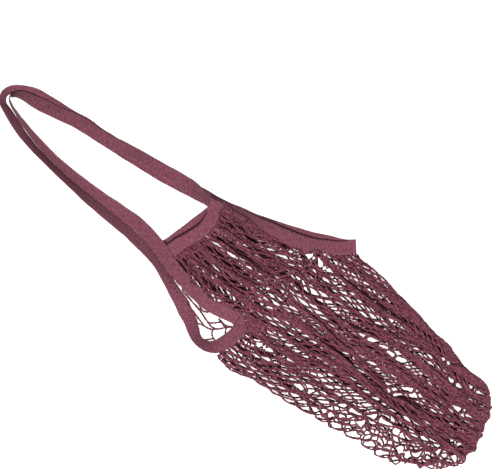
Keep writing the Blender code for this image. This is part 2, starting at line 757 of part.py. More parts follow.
def build_bag():
    """Model the whole bag."""
    clear_scene()
    collection = bpy.data.collections.new("string_shopping_bag")
    bpy.context.scene.collection.children.link(collection)
    tape_cotton = cotton("tape_cotton", TAPE_COLOUR, 0.9)
    net_cotton = cotton("net_cotton", NET_COLOUR, 0.92)

    tape = tape_lines()
    front_seam = seam_line(tape[0], True)
    back_seam = seam_line(tape[2], True)
    front_half, back_half = len(front_seam) // 2, len(back_seam) // 2
    front_band = mouth_band_edges(FRONT_BAND, front_seam[:front_half],
                                  list(reversed(front_seam[front_half:])), FRONT_BAND_ENDS)
    back_band = mouth_band_edges(BACK_BAND, list(reversed(back_seam[back_half:])),
                                 back_seam[:back_half], BACK_BAND_ENDS)
    patches = net_patches(tape, offset_line(front_band[1], front_band[0]),
                          offset_line(back_band[1], back_band[0]))
    pieces = [
        make_net_body(patches, net_cotton, collection),
        make_mouth_band("mouth_band_front", front_band, tape_cotton, collection),
        make_mouth_band("mouth_band_back", back_band, tape_cotton, collection),
        make_handle_tape(tape, tape_cotton, collection),
    ]
    stand_on_origin(pieces, collection)


build_bag()
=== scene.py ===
"""String shopping bag, looks: each string of the net, the knitted bands and the endless tape.

The lines are those of the CAD shapes, in the bag's own plan (metres, +Y to the handles' tip), and
are moved into the shared frame at the end. The net's strings are laid along the CAD wall and then
relaxed, so that they bunch, cross and leave open cells as slack cotton does.
"""

import math

import bpy
import numpy as np
from mathutils import Matrix, Vector


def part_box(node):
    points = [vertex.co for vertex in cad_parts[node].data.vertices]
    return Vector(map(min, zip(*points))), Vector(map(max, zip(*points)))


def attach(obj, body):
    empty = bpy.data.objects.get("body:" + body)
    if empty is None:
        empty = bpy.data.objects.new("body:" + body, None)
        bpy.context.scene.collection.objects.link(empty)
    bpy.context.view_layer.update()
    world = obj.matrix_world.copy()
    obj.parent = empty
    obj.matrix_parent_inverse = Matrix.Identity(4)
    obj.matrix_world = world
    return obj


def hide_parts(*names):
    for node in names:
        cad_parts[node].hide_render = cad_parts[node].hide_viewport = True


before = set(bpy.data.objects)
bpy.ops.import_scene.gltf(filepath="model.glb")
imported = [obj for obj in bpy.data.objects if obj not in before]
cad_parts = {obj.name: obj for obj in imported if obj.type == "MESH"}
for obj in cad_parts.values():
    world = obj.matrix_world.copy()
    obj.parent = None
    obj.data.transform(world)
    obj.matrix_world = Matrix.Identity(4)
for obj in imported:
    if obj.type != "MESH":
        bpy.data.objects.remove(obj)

# Driving sizes
HANDLE_DROP = 0.320
HANDLE_SPREAD = 0.100
BODY_WIDTH = 0.222
BODY_LENGTH = 0.500
LEFT_SLIT_DEPTH = 0.138
RIGHT_SLIT_DEPTH = 0.204
LOFT = 0.012
TAPE_WIDTH = 0.019
TAPE_THICKNESS = 0.002
BAND_HEIGHT = 0.0175
NET_WALL = 0.002
SIDE_ROUND = 0.010
RIM_BLEND = 0.030

# Clearances: along a sewn seam, and between two layers that lie on each other
SEAM_GAP = 0.0008
LAYER_GAP = 0.0004

# The net's half cells: around the tube, along it, and the parts of it that the slits take
COLUMNS = 28
ROWS = 8
FRONT_COLUMNS = COLUMNS // 2
SLIT_COLUMNS = 4
SLIT_ROWS = 2
RIGHT_SLIT_START = FRONT_COLUMNS - SLIT_COLUMNS // 2
RIGHT_SLIT_END = FRONT_COLUMNS + SLIT_COLUMNS // 2

# Steps of the smooth curves, and the longest step along a seam
CURVE_STEPS = 8
OUTLINE_STEPS = 4
FOLD_STEPS = 12
SEAM_STEP = 0.005

# Rounds that find the tape's middle from its rows, and a fold's bend in shares of two layers' distance
MIDDLE_ROUNDS = 6
FOLD_BEND = 0.7

# Where the tape's net edge turns from a slit's side to its closed end, as a share of the depth
FRONT_TURN = 0.84
BACK_TURN = 0.80
# Where the back net leaves the left slit's edge, as a share of the depth
LEFT_TURN = 0.60

# The tape, in stretches of rows, in its direction of travel. Zones: "left" and "right" are the slits, with
# across in shares of half the body width and along in shares of that slit's depth; "handle" has
# across in shares of half the handle spread and along in shares of the handle drop.
# mark: which line of the tape the place is for, -1 left-hand edge, 0 middle, 1 right-hand edge
# roll: degrees that the right-hand edge is tipped up
# rise: height of the lower edge, in shares of the loft, or of the tape's width in the handles
# layers: how many layers of tape lie under it
FRONT_RUN = (
    # zone, mark, layers, then rows of across, along, roll, rise
    ("left", 0, 0, (
        (-0.61, -1.00, 0, 0.58), (-0.62, -0.885, 0, 0.58), (-0.65, -0.755, 8, 0.62),
        (-0.68, -0.61, 25, 0.58), (-0.66, -0.48, 22, 0.67), (-0.625, -0.35, 8, 0.75),
        (-0.595, -0.23, 0, 0.83), (-0.55, -0.09, 0, 0.88),
    )),
    ("handle", 0, 0, (
        (-1.11, 0.01, 0, 0.55), (-1.01, 0.05, 0, 0.50), (-0.92, 0.10, 5, 0.37),
        (-0.85, 0.15, 8, 0.21),
    )),
    ("handle", -1, 0, (
        (-0.99, 0.20, 12, 0.05), (-0.98, 0.26, 18, 0), (-0.95, 0.325, 28, 0),
        (-0.93, 0.39, 37, 0), (-0.90, 0.45, 43, 0), (-0.87, 0.51, 47, 0), (-0.83, 0.575, 49, 0),
        (-0.77, 0.64, 54, 0), (-0.71, 0.695, 55, 0), (-0.63, 0.75, 56, 0),
        (-0.52, 0.805, 62, 0), (-0.43, 0.845, 65, 0), (-0.35, 0.88, 69, 0),
        (-0.26, 0.905, 74, 0), (-0.19, 0.932, 76, 0), (-0.11, 0.953, 77, 0),
        (-0.02, 0.969, 79, 0.02), (0.09, 0.972, 76, 0.16), (0.20, 0.965, 66, 0.35),
        (0.31, 0.953, 57, 0.53), (0.40, 0.935, 50, 0.52), (0.45, 0.906, 46, 0.45),
        (0.495, 0.875, 34, 0.34), (0.545, 0.8375, 25, 0.24),
    )),
    ("handle", -1, 1, (
        (0.58, 0.80, 25, 0.03), (0.625, 0.76, 24, 0.02), (0.70, 0.71, 17, 0.02),
        (0.75, 0.665, 18, 0.02), (0.765, 0.61, 20, 0.02), (0.785, 0.545, 18, 0.02),
        (0.82, 0.49, 15, 0.02), (0.875, 0.4375, 20, 0.02), (0.91, 0.3875, 30, 0.02),
        (0.955, 0.33, 30, 0.02), (0.985, 0.275, 20, 0.02), (1.02, 0.22, 12, 0.02),
        (1.06, 0.155, 10, 0.02), (1.085, 0.105, 15, 0.02), (1.055, 0.06, 35, 0.02),
        (1.02, 0.025, 42, 0.02),
    )),
    ("right", -1, 1, (
        (0.465, -0.02, 43, 0.02), (0.49, -0.09, 44, 0.02), (0.515, -0.165, 45, 0.02),
        (0.54, -0.245, 45, 0.05), (0.57, -0.333, 35, 0.22), (0.61, -0.44, 20, 0.45),
        (0.65, -0.54, 15, 0.45), (0.695, -0.64, 12, 0.42), (0.75, -0.735, 15, 0.35),
        (0.835, -0.824, 15, 0.26), (0.92, -0.902, 8, 0.18),
    )),
    ("right", 0, 1, (
        (0.97, -1.00, 0, 0.17),
    )),
)
BACK_RUN = (
    # zone, mark, layers, then rows of across, along, roll, rise
    ("right", 0, 0, (
        (0.97, -1.00, 0, 0.02),
    )),
    ("right", 1, 0, (
        (0.975, -0.92, 0, 0), (0.915, -0.83, 0, 0), (0.85, -0.75, 0, 0), (0.79, -0.667, 0, 0),
        (0.74, -0.583, 0, 0), (0.697, -0.51, 0, 0), (0.65, -0.417, 0, 0), (0.60, -0.333, 0, 0),
    )),
    ("right", 0, 0, (
        (0.48, -0.235, 0, 0), (0.44, -0.137, 0, 0), (0.413, -0.05, 0, 0),
    )),
    ("handle", -1, 0, (
        (0.71, 0.0125, 0, 0), (0.665, 0.0625, 0, 0), (0.61, 0.12, 0, 0), (0.56, 0.18, 0, 0),
        (0.52, 0.25, 0, 0), (0.49, 0.325, 0, 0), (0.46, 0.405, 0, 0), (0.445, 0.4875, 0, 0),
        (0.43, 0.57, 0, 0), (0.44, 0.64, 0, 0),
    )),
    ("handle", 1, 0, (
        (0.765, 0.694, 0, 0), (0.75, 0.75, 0, 0), (0.738, 0.797, 0, 0), (0.72, 0.84, 4, 0),
        (0.688, 0.881, 12, 0), (0.61, 0.92, 25, 0), (0.50, 0.952, 40, 0), (0.366, 0.98, 54, 0),
        (0.21, 0.997, 66, 0), (0.05, 1.003, 70, 0), (-0.11, 0.998, 71, 0),
        (-0.25, 0.983, 69, 0), (-0.35, 0.956, 64, 0), (-0.43, 0.931, 61, 0),
        (-0.55, 0.89, 58, 0), (-0.66, 0.847, 59, 0), (-0.75, 0.797, 62, 0),
        (-0.826, 0.746, 64, 0), (-0.885, 0.689, 67, 0), (-0.95, 0.631, 66, 0),
        (-1.01, 0.575, 64, 0), (-1.065, 0.5125, 61, 0), (-1.13, 0.45, 56, 0),
        (-1.182, 0.38, 51, 0), (-1.222, 0.32, 46, 0), (-1.252, 0.256, 47, 0),
        (-1.28, 0.206, 43, 0), (-1.335, 0.16, 41, 0), (-1.385, 0.1125, 40, 0),
        (-1.44, 0.0625, 45, 0), (-1.525, 0.019, 46, 0),
    )),
    ("left", 1, 0, (
        (-0.743, -0.05, 44, 0), (-0.806, -0.145, 40, 0), (-0.87, -0.24, 30, 0),
        (-0.932, -0.333, 20, 0), (-0.995, -0.42, 16, 0), (-1.05, -0.514, 24, 0.04),
        (-1.117, -0.60, 34, 0.13), (-1.165, -0.68, 46, 0.27), (-1.18, -0.77, 52, 0.45),
        (-1.165, -0.86, 45, 0.65), (-1.12, -0.94, 30, 0.79),
    )),
    ("left", 0, 1, (
        (-0.964, -0.953, 12, 0.65), (-0.856, -0.985, 5, 0.65), (-0.75, -1.00, 0, 0.65),
        (-0.61, -1.00, 0, 0.65),
    )),
)

# The mouth bands' middle lines, left to right, in shares of half the handle spread
FRONT_BAND = (
    # across, along
    (-0.60, -0.04),
    (-0.40, -0.14),
    (-0.20, -0.235),
    (0.00, -0.315),
    (0.20, -0.365),
    (0.40, -0.375),
    (0.60, -0.34),
)
FRONT_BAND_ENDS = (0.05, -0.25)
BACK_BAND = (
    # across, along
    (-0.80, 0.22),
    (-0.30, 0.05),
    (0.20, -0.11),
)
BACK_BAND_ENDS = (0.36, -0.26)

# The net's outline, in shares of half the body width and of the body length
LEFT_CORNER = (-1.145, -0.268)
LEFT_SIDE = (
    # across, along
    (-1.165, -0.32),
    (-1.12, -0.40),
    (-1.11, -0.50),
    (-1.085, -0.60),
    (-1.07, -0.70),
    (-1.03, -0.80),
    (-0.93, -0.865),
)
RIGHT_SIDE = (
    # across, along
    (0.885, -0.465),
    (0.825, -0.57),
    (0.735, -0.66),
    (0.65, -0.715),
    (0.605, -0.78),
    (0.535, -0.83),
    (0.50, -0.875),
)
FOOT = (
    # across, along
    (-0.79, -0.905),
    (-0.69, -0.95),
    (-0.56, -0.98),
    (-0.40, -0.996),
    (-0.14, -0.998),
    (0.00, -0.991),
    (0.25, -0.978),
    (0.38, -0.957),
    (0.45, -0.94),
    (0.49, -0.912),
)

# Lengthwise gathers of the front wall: place and width in shares of its width, height in loft, and
# how steeply they fade in below the slits and out above the foot
GATHER_FADES = (4.0, 5.0)
GATHERS = (
    # place, width, height
    (0.22, 0.12, -0.22),
    (0.40, 0.12, 0.20),
    (0.53, 0.08, -0.12),
    (0.66, 0.10, -0.16),
    (0.80, 0.10, 0.14),
)


def ease(share):
    """A smooth step from 0 to 1."""
    share = min(1.0, max(0.0, share))
    return share * share * (3.0 - 2.0 * share)


def between(one, two, slope_one, slope_two, span, t):
    """The place at share t of the smooth curve between two places with their slopes."""
    return (one * (2 * t**3 - 3 * t**2 + 1) + slope_one * span * (t**3 - 2 * t**2 + t)
            + two * (3 * t**2 - 2 * t**3) + slope_two * span * (t**3 - t**2))


def smooth_line(points, steps):
    """A smooth curve through the points, with the same steps between each two."""
    spans = [(b - a).length for a, b in zip(points, points[1:])]
    slopes = [(b - a) / span for a, b, span in zip(points, points[1:], spans)]
    tangents = [slopes[0]]
    for before, after, one, two in zip(slopes, slopes[1:], spans, spans[1:]):
        tangents.append((before * two + after * one) / (one + two))
    tangents.append(slopes[-1])
    line = []
    for index, span in enumerate(spans):
        for step in range(steps):
            t = step / steps
            line.append(between(points[index], points[index + 1],
                                tangents[index], tangents[index + 1], span, t))
    line.append(points[-1])
    return line


def along_line(line, share):
    """The point at a share of a line's length."""
    spans = [(b - a).length for a, b in zip(line, line[1:])]
    left = min(1.0, max(0.0, share)) * sum(spans)
    for a, b, span in zip(line, line[1:], spans):
        if left <= span and span > 0.0:
            return a.lerp(b, left / span)
        left -= span
    return line[-1].copy()


def place_in_zone(zone, across, along):
    """A place in the plan from its zone's shares."""
    half_body = BODY_WIDTH / 2
    if zone == "handle":
        return Vector((across * HANDLE_SPREAD / 2, along * HANDLE_DROP, 0.0))
    depth = LEFT_SLIT_DEPTH if zone == "left" else RIGHT_SLIT_DEPTH
    return Vector((across * half_body, along * depth, 0.0))


def left_hand(direction):
    """The plan direction to the left of a direction of travel."""
    return Vector((-direction.y, direction.x, 0.0)).normalized()


def run_frames(stretches):
    """Each row's middle in the plan, its direction of travel, its roll and its lower height."""
    given, marks, rolls, lows = [], [], [], []
    for zone, mark, layers, rows in stretches:
        scale = TAPE_WIDTH if zone == "handle" else LOFT
        for across, along, roll, rise in rows:
            given.append(place_in_zone(zone, across, along))
            marks.append(mark)
            rolls.append(math.radians(roll))
            lows.append(rise * scale + layers * (TAPE_THICKNESS + LAYER_GAP) + TAPE_THICKNESS / 2)
    middles = [place.copy() for place in given]
    for settling in range(MIDDLE_ROUNDS):
        ahead = middles[1:] + middles[-1:]
        behind = middles[:1] + middles[:-1]
        travels = [(b - a).normalized() for a, b in zip(behind, ahead)]
        middles = [place + left_hand(travel) * mark * TAPE_WIDTH / 2 * math.cos(roll)
                   for place, travel, mark, roll in zip(given, travels, marks, rolls)]
    return middles, travels, rolls, lows


def fold_line(travel_in, travel_out):
    """The way that a fold points, and the plan direction of its crease."""
    outward = (travel_in - travel_out).normalized()
    return outward, left_hand(outward)


def run_edges(frames, first_crease, last_crease):
    """The left-hand and right-hand edges of one run of tape, between its two creases."""
    middles, travels, rolls, lows = frames
    lefts, rights = [], []
    for index, (middle, travel, roll, low) in enumerate(zip(middles, travels, rolls, lows)):
        normal = left_hand(travel)
        ruling = normal
        if index == 0:
            ruling = first_crease
        if index == len(middles) - 1:
            ruling = last_crease
        facing = ruling.dot(normal)
        reach = ruling / facing * TAPE_WIDTH / 2 * math.cos(roll)
        lefts.append(middle + reach + Vector((0.0, 0.0, low)))
        rights.append(middle - reach + Vector((0.0, 0.0, low + TAPE_WIDTH * math.sin(roll))))
    edges = smooth_line(lefts, CURVE_STEPS), smooth_line(rights, CURVE_STEPS)
    for point in edges[0] + edges[1]:
        point.z = max(point.z, TAPE_THICKNESS / 2)
    return edges


def fold_sections(before, after, outward):
    """Sections of the tape around a fold, between the last section before it and the next."""
    bend = FOLD_BEND * (TAPE_THICKNESS + LAYER_GAP)
    sections = []
    for step in range(1, FOLD_STEPS):
        angle = math.pi * (0.5 - step / FOLD_STEPS)
        section = []
        for one, two in zip(before, after):
            middle = (one + two) / 2
            section.append(middle + (one - two) / 2 * math.sin(angle) + outward * bend * math.cos(angle))
        sections.append(section)
    return sections


def tape_lines():
    """The tape's two runs as lists of (net edge, free edge) pairs, with both folds."""
    front = run_frames(FRONT_RUN)
    back = run_frames(BACK_RUN)
    right_out, right_crease = fold_line(front[1][-1], back[1][0])
    left_out, left_crease = fold_line(back[1][-1], front[1][0])
    front_left, front_right = run_edges(front, left_crease, right_crease)
    back_left, back_right = run_edges(back, right_crease, left_crease)
    front_pairs = list(zip(front_right, front_left))
    back_pairs = list(zip(back_left, back_right))
    right_fold = fold_sections(front_pairs[-1], back_pairs[0], right_out)
    left_fold = fold_sections(back_pairs[-1], front_pairs[0], left_out)
    return front_pairs, right_fold, back_pairs, left_fold


def seam_line(pairs, on_net_side):
    """The line where a cloth edge meets the tape, one seam gap outside the tape's edge."""
    line = []
    for net_point, free_point in pairs:
        edge, other = (net_point, free_point) if on_net_side else (free_point, net_point)
        away = edge - other
        tilt = abs(away.z) / away.length
        away.z = 0.0
        line.append(edge + away.normalized() * (SEAM_GAP + TAPE_THICKNESS / 2 * tilt))
    return line


def cut_line(line, along):
    """The start of a line, up to where it first passes a place along Y."""
    side = line[0].y < along
    for index, (a, b) in enumerate(zip(line, line[1:])):
        if (b.y < along) != side:
            return line[:index + 1] + [a.lerp(b, (along - a.y) / (b.y - a.y))]
    return list(line)


def piece_of_line(line, start, end):
    """The part of a line between its first passes of two places along Y."""
    whole = cut_line(line, end)
    before = cut_line(whole, start)
    return [before[-1]] + whole[len(before) - 1:]


def mouth_band_edges(rows, left_seam, right_seam, ends):
    """The upper and lower edges of a mouth band, whose ends lie along the tape."""
    half = BAND_HEIGHT / 2
    scale = HANDLE_SPREAD / 2
    left_end, right_end = ends[0] * scale, ends[1] * scale
    left_upper = cut_line(left_seam, left_end + half)[-1]
    left_lower = cut_line(left_seam, left_end - half)[-1]
    right_upper = cut_line(right_seam, right_end + half)[-1]
    right_lower = cut_line(right_seam, right_end - half)[-1]
    left_middle = (left_upper + left_lower) / 2
    right_middle = (right_upper + right_lower) / 2
    middles = [left_middle]
    for across, along in rows:
        share = (across * scale - left_middle.x) / (right_middle.x - left_middle.x)
        height = left_middle.z + (right_middle.z - left_middle.z) * share
        middles.append(Vector((across * scale, along * scale, height)))
    middles.append(right_middle)
    upper, lower = [left_upper], [left_lower]
    for before, middle, after in zip(middles, middles[1:], middles[2:]):
        normal = left_hand(after - before)
        upper.append(middle + normal * half)
        lower.append(middle - normal * half)
    upper.append(right_upper)
    lower.append(right_lower)
    return smooth_line(upper, CURVE_STEPS), smooth_line(lower, CURVE_STEPS)


def raised_line(start, end, height):
    """A line between two points whose middle stretch lies at its own height."""
    line = [start]
    for share in (0.12, 0.5, 0.88):
        point = start.lerp(end, share)
        point.z = height
        line.append(point)
    line.append(end)
    return smooth_line(line, OUTLINE_STEPS)


def outline_line(start, rows, end, height):
    """A side or foot line of the net, from its rows of shares."""
    points = [start] if start is not None else []
    for across, along in rows:
        points.append(Vector((across * BODY_WIDTH / 2, along * BODY_LENGTH, height)))
    if end is not None:
        points.append(end)
    return smooth_line(points, OUTLINE_STEPS)


class Patch:
    """A four-sided stretch of the net's wall, spanned between its border lines."""

    def __init__(self, top, bottom, left, right):
        self.top, self.bottom, self.left, self.right = top, bottom, left, right

    def point(self, across, down):
        """The place at shares across (left to right) and down (top to bottom)."""
        top, bottom = self.top(across), self.bottom(across)
        left, right = self.left(down), self.right(down)
        ends = (self.top(0.0) * (1 - across) + self.top(1.0) * across) * (1 - down)
        ends += (self.bottom(0.0) * (1 - across) + self.bottom(1.0) * across) * down
        return top * (1 - down) + bottom * down + left * (1 - across) + right * across - ends


def line_of(points):
    """A line as a function of the share of its length."""
    return lambda share: along_line(points, share)


def joined_lines(pieces, columns):
    """Several lines one after the other, each taking its own number of columns."""
    total = sum(columns)

    def point(share):
        place = share * total
        for piece, count in zip(pieces, columns):
            if place <= count:
                return along_line(piece, place / count)
            place -= count
        return pieces[-1][-1].copy()
    return point


def net_patches(tape, front_band_lower, back_band_lower):
    """The net's four patches, bordered by the tape, the mouth bands, the sides and the foot."""
    front_pairs, right_fold, back_pairs, left_fold = tape
    bend = left_fold[FOLD_STEPS // 2 - 1]
    wall_middle = NET_WALL / 2
    side_height = wall_middle + LOFT / 2
    top_height = wall_middle + LOFT
    right_bend = right_fold[FOLD_STEPS // 2 - 1][0]
    half_body = BODY_WIDTH / 2

    front_net = seam_line(front_pairs, True)
    back_net = seam_line(back_pairs, True)
    band_free = seam_line(back_pairs, False)

    crease = bend[0] - bend[1]
    outward = Vector((crease.y, -crease.x, 0.0)).normalized()
    clear = TAPE_THICKNESS / 2 + SEAM_GAP
    left_corner = Vector((LEFT_CORNER[0] * half_body, LEFT_CORNER[1] * BODY_LENGTH, wall_middle))
    under_band = [point for point in band_free[len(band_free) // 2:]
                  if point.y < left_corner.y and point.x > left_corner.x]
    crease_low = bend[1] + outward * clear
    crease_high = bend[0] + outward * clear + crease.normalized() * SEAM_GAP
    under_band = [point for point in under_band if point.x < crease_low.x - SEAM_STEP / 2]
    notch_bottom = [left_corner] + under_band + [crease_low]
    notch_crease = [crease_low, crease_high]

    front_left = cut_line(front_net, front_band_lower[0].y)
    front_left = [crease_high] + [point for point in front_left if point.y > crease_high.y + SEAM_STEP / 2]
    front_right = front_net[len(front_net) // 2:][::-1]
    right_corner = right_bend + (front_net[-1] - front_pairs[-1][0]) * 2
    turn = -FRONT_TURN * RIGHT_SLIT_DEPTH
    front_down = piece_of_line(front_right, turn, front_band_lower[-1].y)[::-1]
    front_end = cut_line(front_right, turn)[:0:-1] + [right_corner]

    back_right = back_net[:len(back_net) // 2]
    turn = -BACK_TURN * RIGHT_SLIT_DEPTH
    back_end = [right_corner] + cut_line(back_right, turn)[1:]
    back_up = piece_of_line(back_right, turn, back_band_lower[-1].y)
    back_left = back_net[len(back_net) // 2:]
    back_down = piece_of_line(back_left, back_band_lower[0].y, -LEFT_TURN * LEFT_SLIT_DEPTH)
    back_down = smooth_line(back_down + [left_corner], 2)

    foot = outline_line(None, FOOT, None, side_height)
    left_side = outline_line(left_corner, LEFT_SIDE, foot[0], side_height)
    right_side = outline_line(right_corner, RIGHT_SIDE, foot[-1], side_height)
    front_middle = raised_line(crease_high, front_down[-1], top_height)
    back_middle = raised_line(back_up[0], left_corner, wall_middle)

    front_top = Patch(line_of(front_band_lower), line_of(front_middle),
                      line_of(front_left[::-1]), line_of(front_down))
    front_low = Patch(joined_lines((notch_bottom, notch_crease, front_middle, front_end),
                                   (SLIT_COLUMNS // 2, SLIT_COLUMNS // 2,
                                    RIGHT_SLIT_START - SLIT_COLUMNS,
                                    FRONT_COLUMNS - RIGHT_SLIT_START)),
                      line_of(foot), line_of(left_side), line_of(right_side))
    back_top = Patch(line_of(back_band_lower[::-1]), line_of(back_middle),
                     line_of(back_up[::-1]), line_of(back_down))
    back_low = Patch(joined_lines((back_end, back_middle),
                                  (RIGHT_SLIT_END - FRONT_COLUMNS, COLUMNS - RIGHT_SLIT_END)),
                     line_of(foot[::-1]), line_of(right_side), line_of(left_side))
    return front_top, front_low, back_top, back_low


def gather_height(across, down):
    """How far a lengthwise gather lifts or lowers the front wall."""
    fade = ease(down * GATHER_FADES[0]) * ease((1.0 - down) * GATHER_FADES[1])
    height = 0.0
    for place, width, lift in GATHERS:
        height += lift * LOFT * math.exp(-((across - place) / (width / 2)) ** 2)
    return height * fade


def wall_point(patches, column, row):
    """The place of a point of the net, from its column around and its row along the tube."""
    front_top, front_low, back_top, back_low = patches
    on_front = column <= FRONT_COLUMNS
    if row < SLIT_ROWS:
        if on_front:
            first, last, patch = SLIT_COLUMNS, RIGHT_SLIT_START, front_top
        else:
            first, last, patch = RIGHT_SLIT_END, COLUMNS, back_top
        point = patch.point((column - first) / (last - first), row / SLIT_ROWS)
        if not on_front:
            point.z = NET_WALL / 2
        return point
    patch = front_low if on_front else back_low
    across = (column if on_front else column - FRONT_COLUMNS) / FRONT_COLUMNS
    down = (row - SLIT_ROWS) / (ROWS - SLIT_ROWS)
    point = patch.point(across, down)
    from_side = min(across, 1.0 - across) * BODY_WIDTH
    from_foot = (ROWS - row) / ROWS * BODY_LENGTH
    belly = math.sin(math.pi / 2 * min(1.0, from_side / SIDE_ROUND))
    belly *= math.sin(math.pi / 2 * min(1.0, from_foot / SIDE_ROUND))
    side_height = (NET_WALL + LOFT) / 2
    if on_front:
        height = side_height + LOFT / 2 * belly + gather_height(across, down) * belly
    else:
        height = side_height - LOFT / 2 * belly
    from_rim = (row - SLIT_ROWS) / ROWS * BODY_LENGTH
    blend = ease(from_rim / RIM_BLEND)
    point.z = patch.top(across).z * (1 - blend) + height * blend
    return point


def offset_line(line, other):
    """A band's edge moved one seam gap away from the band."""
    moved = []
    for point, far in zip(line, other):
        away = point - far
        away.z = 0.0
        moved.append(point + away.normalized() * SEAM_GAP)
    return moved


# The net's strings, and those beside the slits, which are sewn to the tape
STRINGS = 168
FRONT_STRINGS = STRINGS // 2
STRING_PITCH = COLUMNS / STRINGS
SEWN_STRINGS = (24, 71, 96, 167)
STRING_DIAMETER = 0.0026

# The left slit's opening in the plan, and how high the strings that span it lie
SLIT_RIGHT_END = -0.079
SLIT_LOWER_END = -0.128
SLIT_HEIGHT = 0.004

# Half cells along the net and along the slits, and how strings are laid in them
HALF_ROWS = 36
SLIT_HALF_ROWS = 8
POINTS_PER_HALF_ROW = 3
SHORTEST_HALF_ROW = 0.0080
KNOT_INSET = 0.05
GRID_STEPS = 4

# How firmly points keep their laid place and strings straighten, also at the left side's few strings
FIRMNESS = 0.006
HEIGHT_FIRMNESS = 0.06
STRAIGHTENING = 0.25
RIM_STRINGS = 5
RIM_FIRMNESS = 0.035
RIM_STRAIGHTENING = 0.10

# Real length over laid length, and what the lower left has in addition
SLACK = 1.03
LOOSE_SLACK = 0.24
LOOSE_TOP = -0.280
LOOSE_RIGHT = -0.045
LOOSE_BLEND = 0.045

# The settling's rounds, and how strongly each round mends lengths and distances
SETTLING_ROUNDS = 240
SEARCH_ROUNDS = 8
LENGTH_ROUNDS = 3
OVERSHOOT = 1.6
PUSH_SHARE = 0.8

# Shares of a string's diameter: packed strings' distance, the search's reach, the lowest height
PACKED_SHARE = 0.82
SEARCH_REACH = 1.5
LOWEST_SHARE = 0.72

# The uneven shift that bunches the strings: waves to a metre times 2 pi, and their size
BUNCHING = 0.50
WAVES = 22
WAVES_ACROSS = (240, 950)
WAVES_ALONG = (-26, 26)
WAVE_LIFT = 0.7
CALM_COLUMNS = 1.5
CALM_SHARE = 0.4
UNEVENNESS = 0.0004
RIPPLE_SEED = 11

# The front wall's last strings and the band's end, which lie over the tape beside the mouth
FLOP_COLUMNS = 1.6
FLOP_SHARE = 0.62
FLOP_WIDTH = 0.012
FLOP_HEIGHT = 0.004
END_LENGTH = 0.012
END_RISE = 0.003
END_STEPS = 6

# How far the columns are drawn away from the left side, between two rows and in the slit
THINNING = 0.42
THIN_START = 3.0
THIN_END = 6.0
SLIT_THINNING = 0.15

# The foot seam's loops: strings to a loop and depth, how unevenly they follow each other and
# how their depth changes, and that they grow deeper from the right to the left
FOOT_LOOP = 8.5
FOOT_DEPTH = 0.0034
LOOP_DRIFT = 1.3
LOOP_DRIFT_RATE = 0.21
LOOP_MEAN = 0.75
LOOP_CHANGE = 0.45
LOOP_CHANGE_RATE = 0.37
LOOP_RIGHT = 0.3
LOOP_GROWTH = 0.9

# How open places are made: how far the nearest cell may lie, how much its distance along Y counts,
# how far around strings give way, and by what share in a round
CELL_REACH = 0.012
CELL_ALONG = 0.6
GIVING_WIDTH = 0.02
GIVING_HEIGHT = 1.2
GIVING_SHARE = 0.5

# Open places of the net, in metres of the bag's plan
OPEN_PLACES = (
    # x, y, half width, half height
    (-0.062, -0.085, 0.003, 0.008),
    (-0.010, -0.140, 0.0022, 0.013),
    (0.054, -0.138, 0.005, 0.010),
    (0.063, -0.166, 0.009, 0.009),
    (0.059, -0.188, 0.006, 0.010),
    (0.056, -0.209, 0.004, 0.009),
    (-0.033, -0.155, 0.003, 0.008),
    (-0.002, -0.160, 0.003, 0.007),
    (-0.090, -0.160, 0.003, 0.008),
    (-0.080, -0.180, 0.006, 0.011),
    (-0.090, -0.203, 0.003, 0.008),
    (-0.075, -0.212, 0.003, 0.008),
    (-0.095, -0.255, 0.006, 0.012),
    (-0.070, -0.262, 0.003, 0.009),
    (-0.035, -0.275, 0.003, 0.009),
    (-0.020, -0.285, 0.003, 0.008),
    (0.013, -0.290, 0.003, 0.010),
    (-0.105, -0.310, 0.005, 0.010),
    (-0.082, -0.325, 0.004, 0.009),
    (0.053, -0.310, 0.004, 0.011),
    (0.014, -0.338, 0.004, 0.009),
    (-0.088, -0.362, 0.006, 0.010),
    (-0.070, -0.368, 0.005, 0.009),
    (-0.030, -0.365, 0.003, 0.009),
    (-0.091, -0.395, 0.009, 0.011),
    (-0.070, -0.402, 0.006, 0.010),
    (-0.010, -0.390, 0.004, 0.009),
    (0.025, -0.397, 0.005, 0.010),
    (0.050, -0.397, 0.003, 0.009),
    (-0.088, -0.425, 0.009, 0.011),
    (0.032, -0.425, 0.0032, 0.012),
    (-0.078, -0.452, 0.009, 0.010),
    (-0.060, -0.468, 0.008, 0.009),
    (0.005, -0.460, 0.005, 0.009),
    (0.040, -0.455, 0.0032, 0.011),
    (-0.036, -0.478, 0.005, 0.008),
    (-0.110, -0.102, 0.007, 0.010),
    (-0.091, -0.112, 0.007, 0.014),
    (-0.085, -0.062, 0.005, 0.012),
)

# Where the strings crowd together lengthwise
DENSE_BLEND = 0.03
DENSE_BANDS = (
    # x, half width, upper y, lower y, pull; each fades over DENSE_BLEND
    (-0.038, 0.024, -0.230, -0.520, 0.60),
    (-0.006, 0.030, -0.150, -0.320, 0.35),
    (-0.030, 0.012, -0.030, -0.120, 0.30),
    (0.020, 0.012, -0.040, -0.160, 0.22),
    (-0.064, 0.010, -0.040, -0.120, 0.40),
    (0.030, 0.014, -0.260, -0.360, 0.45),
    (0.012, 0.012, -0.400, -0.480, 0.45),
)

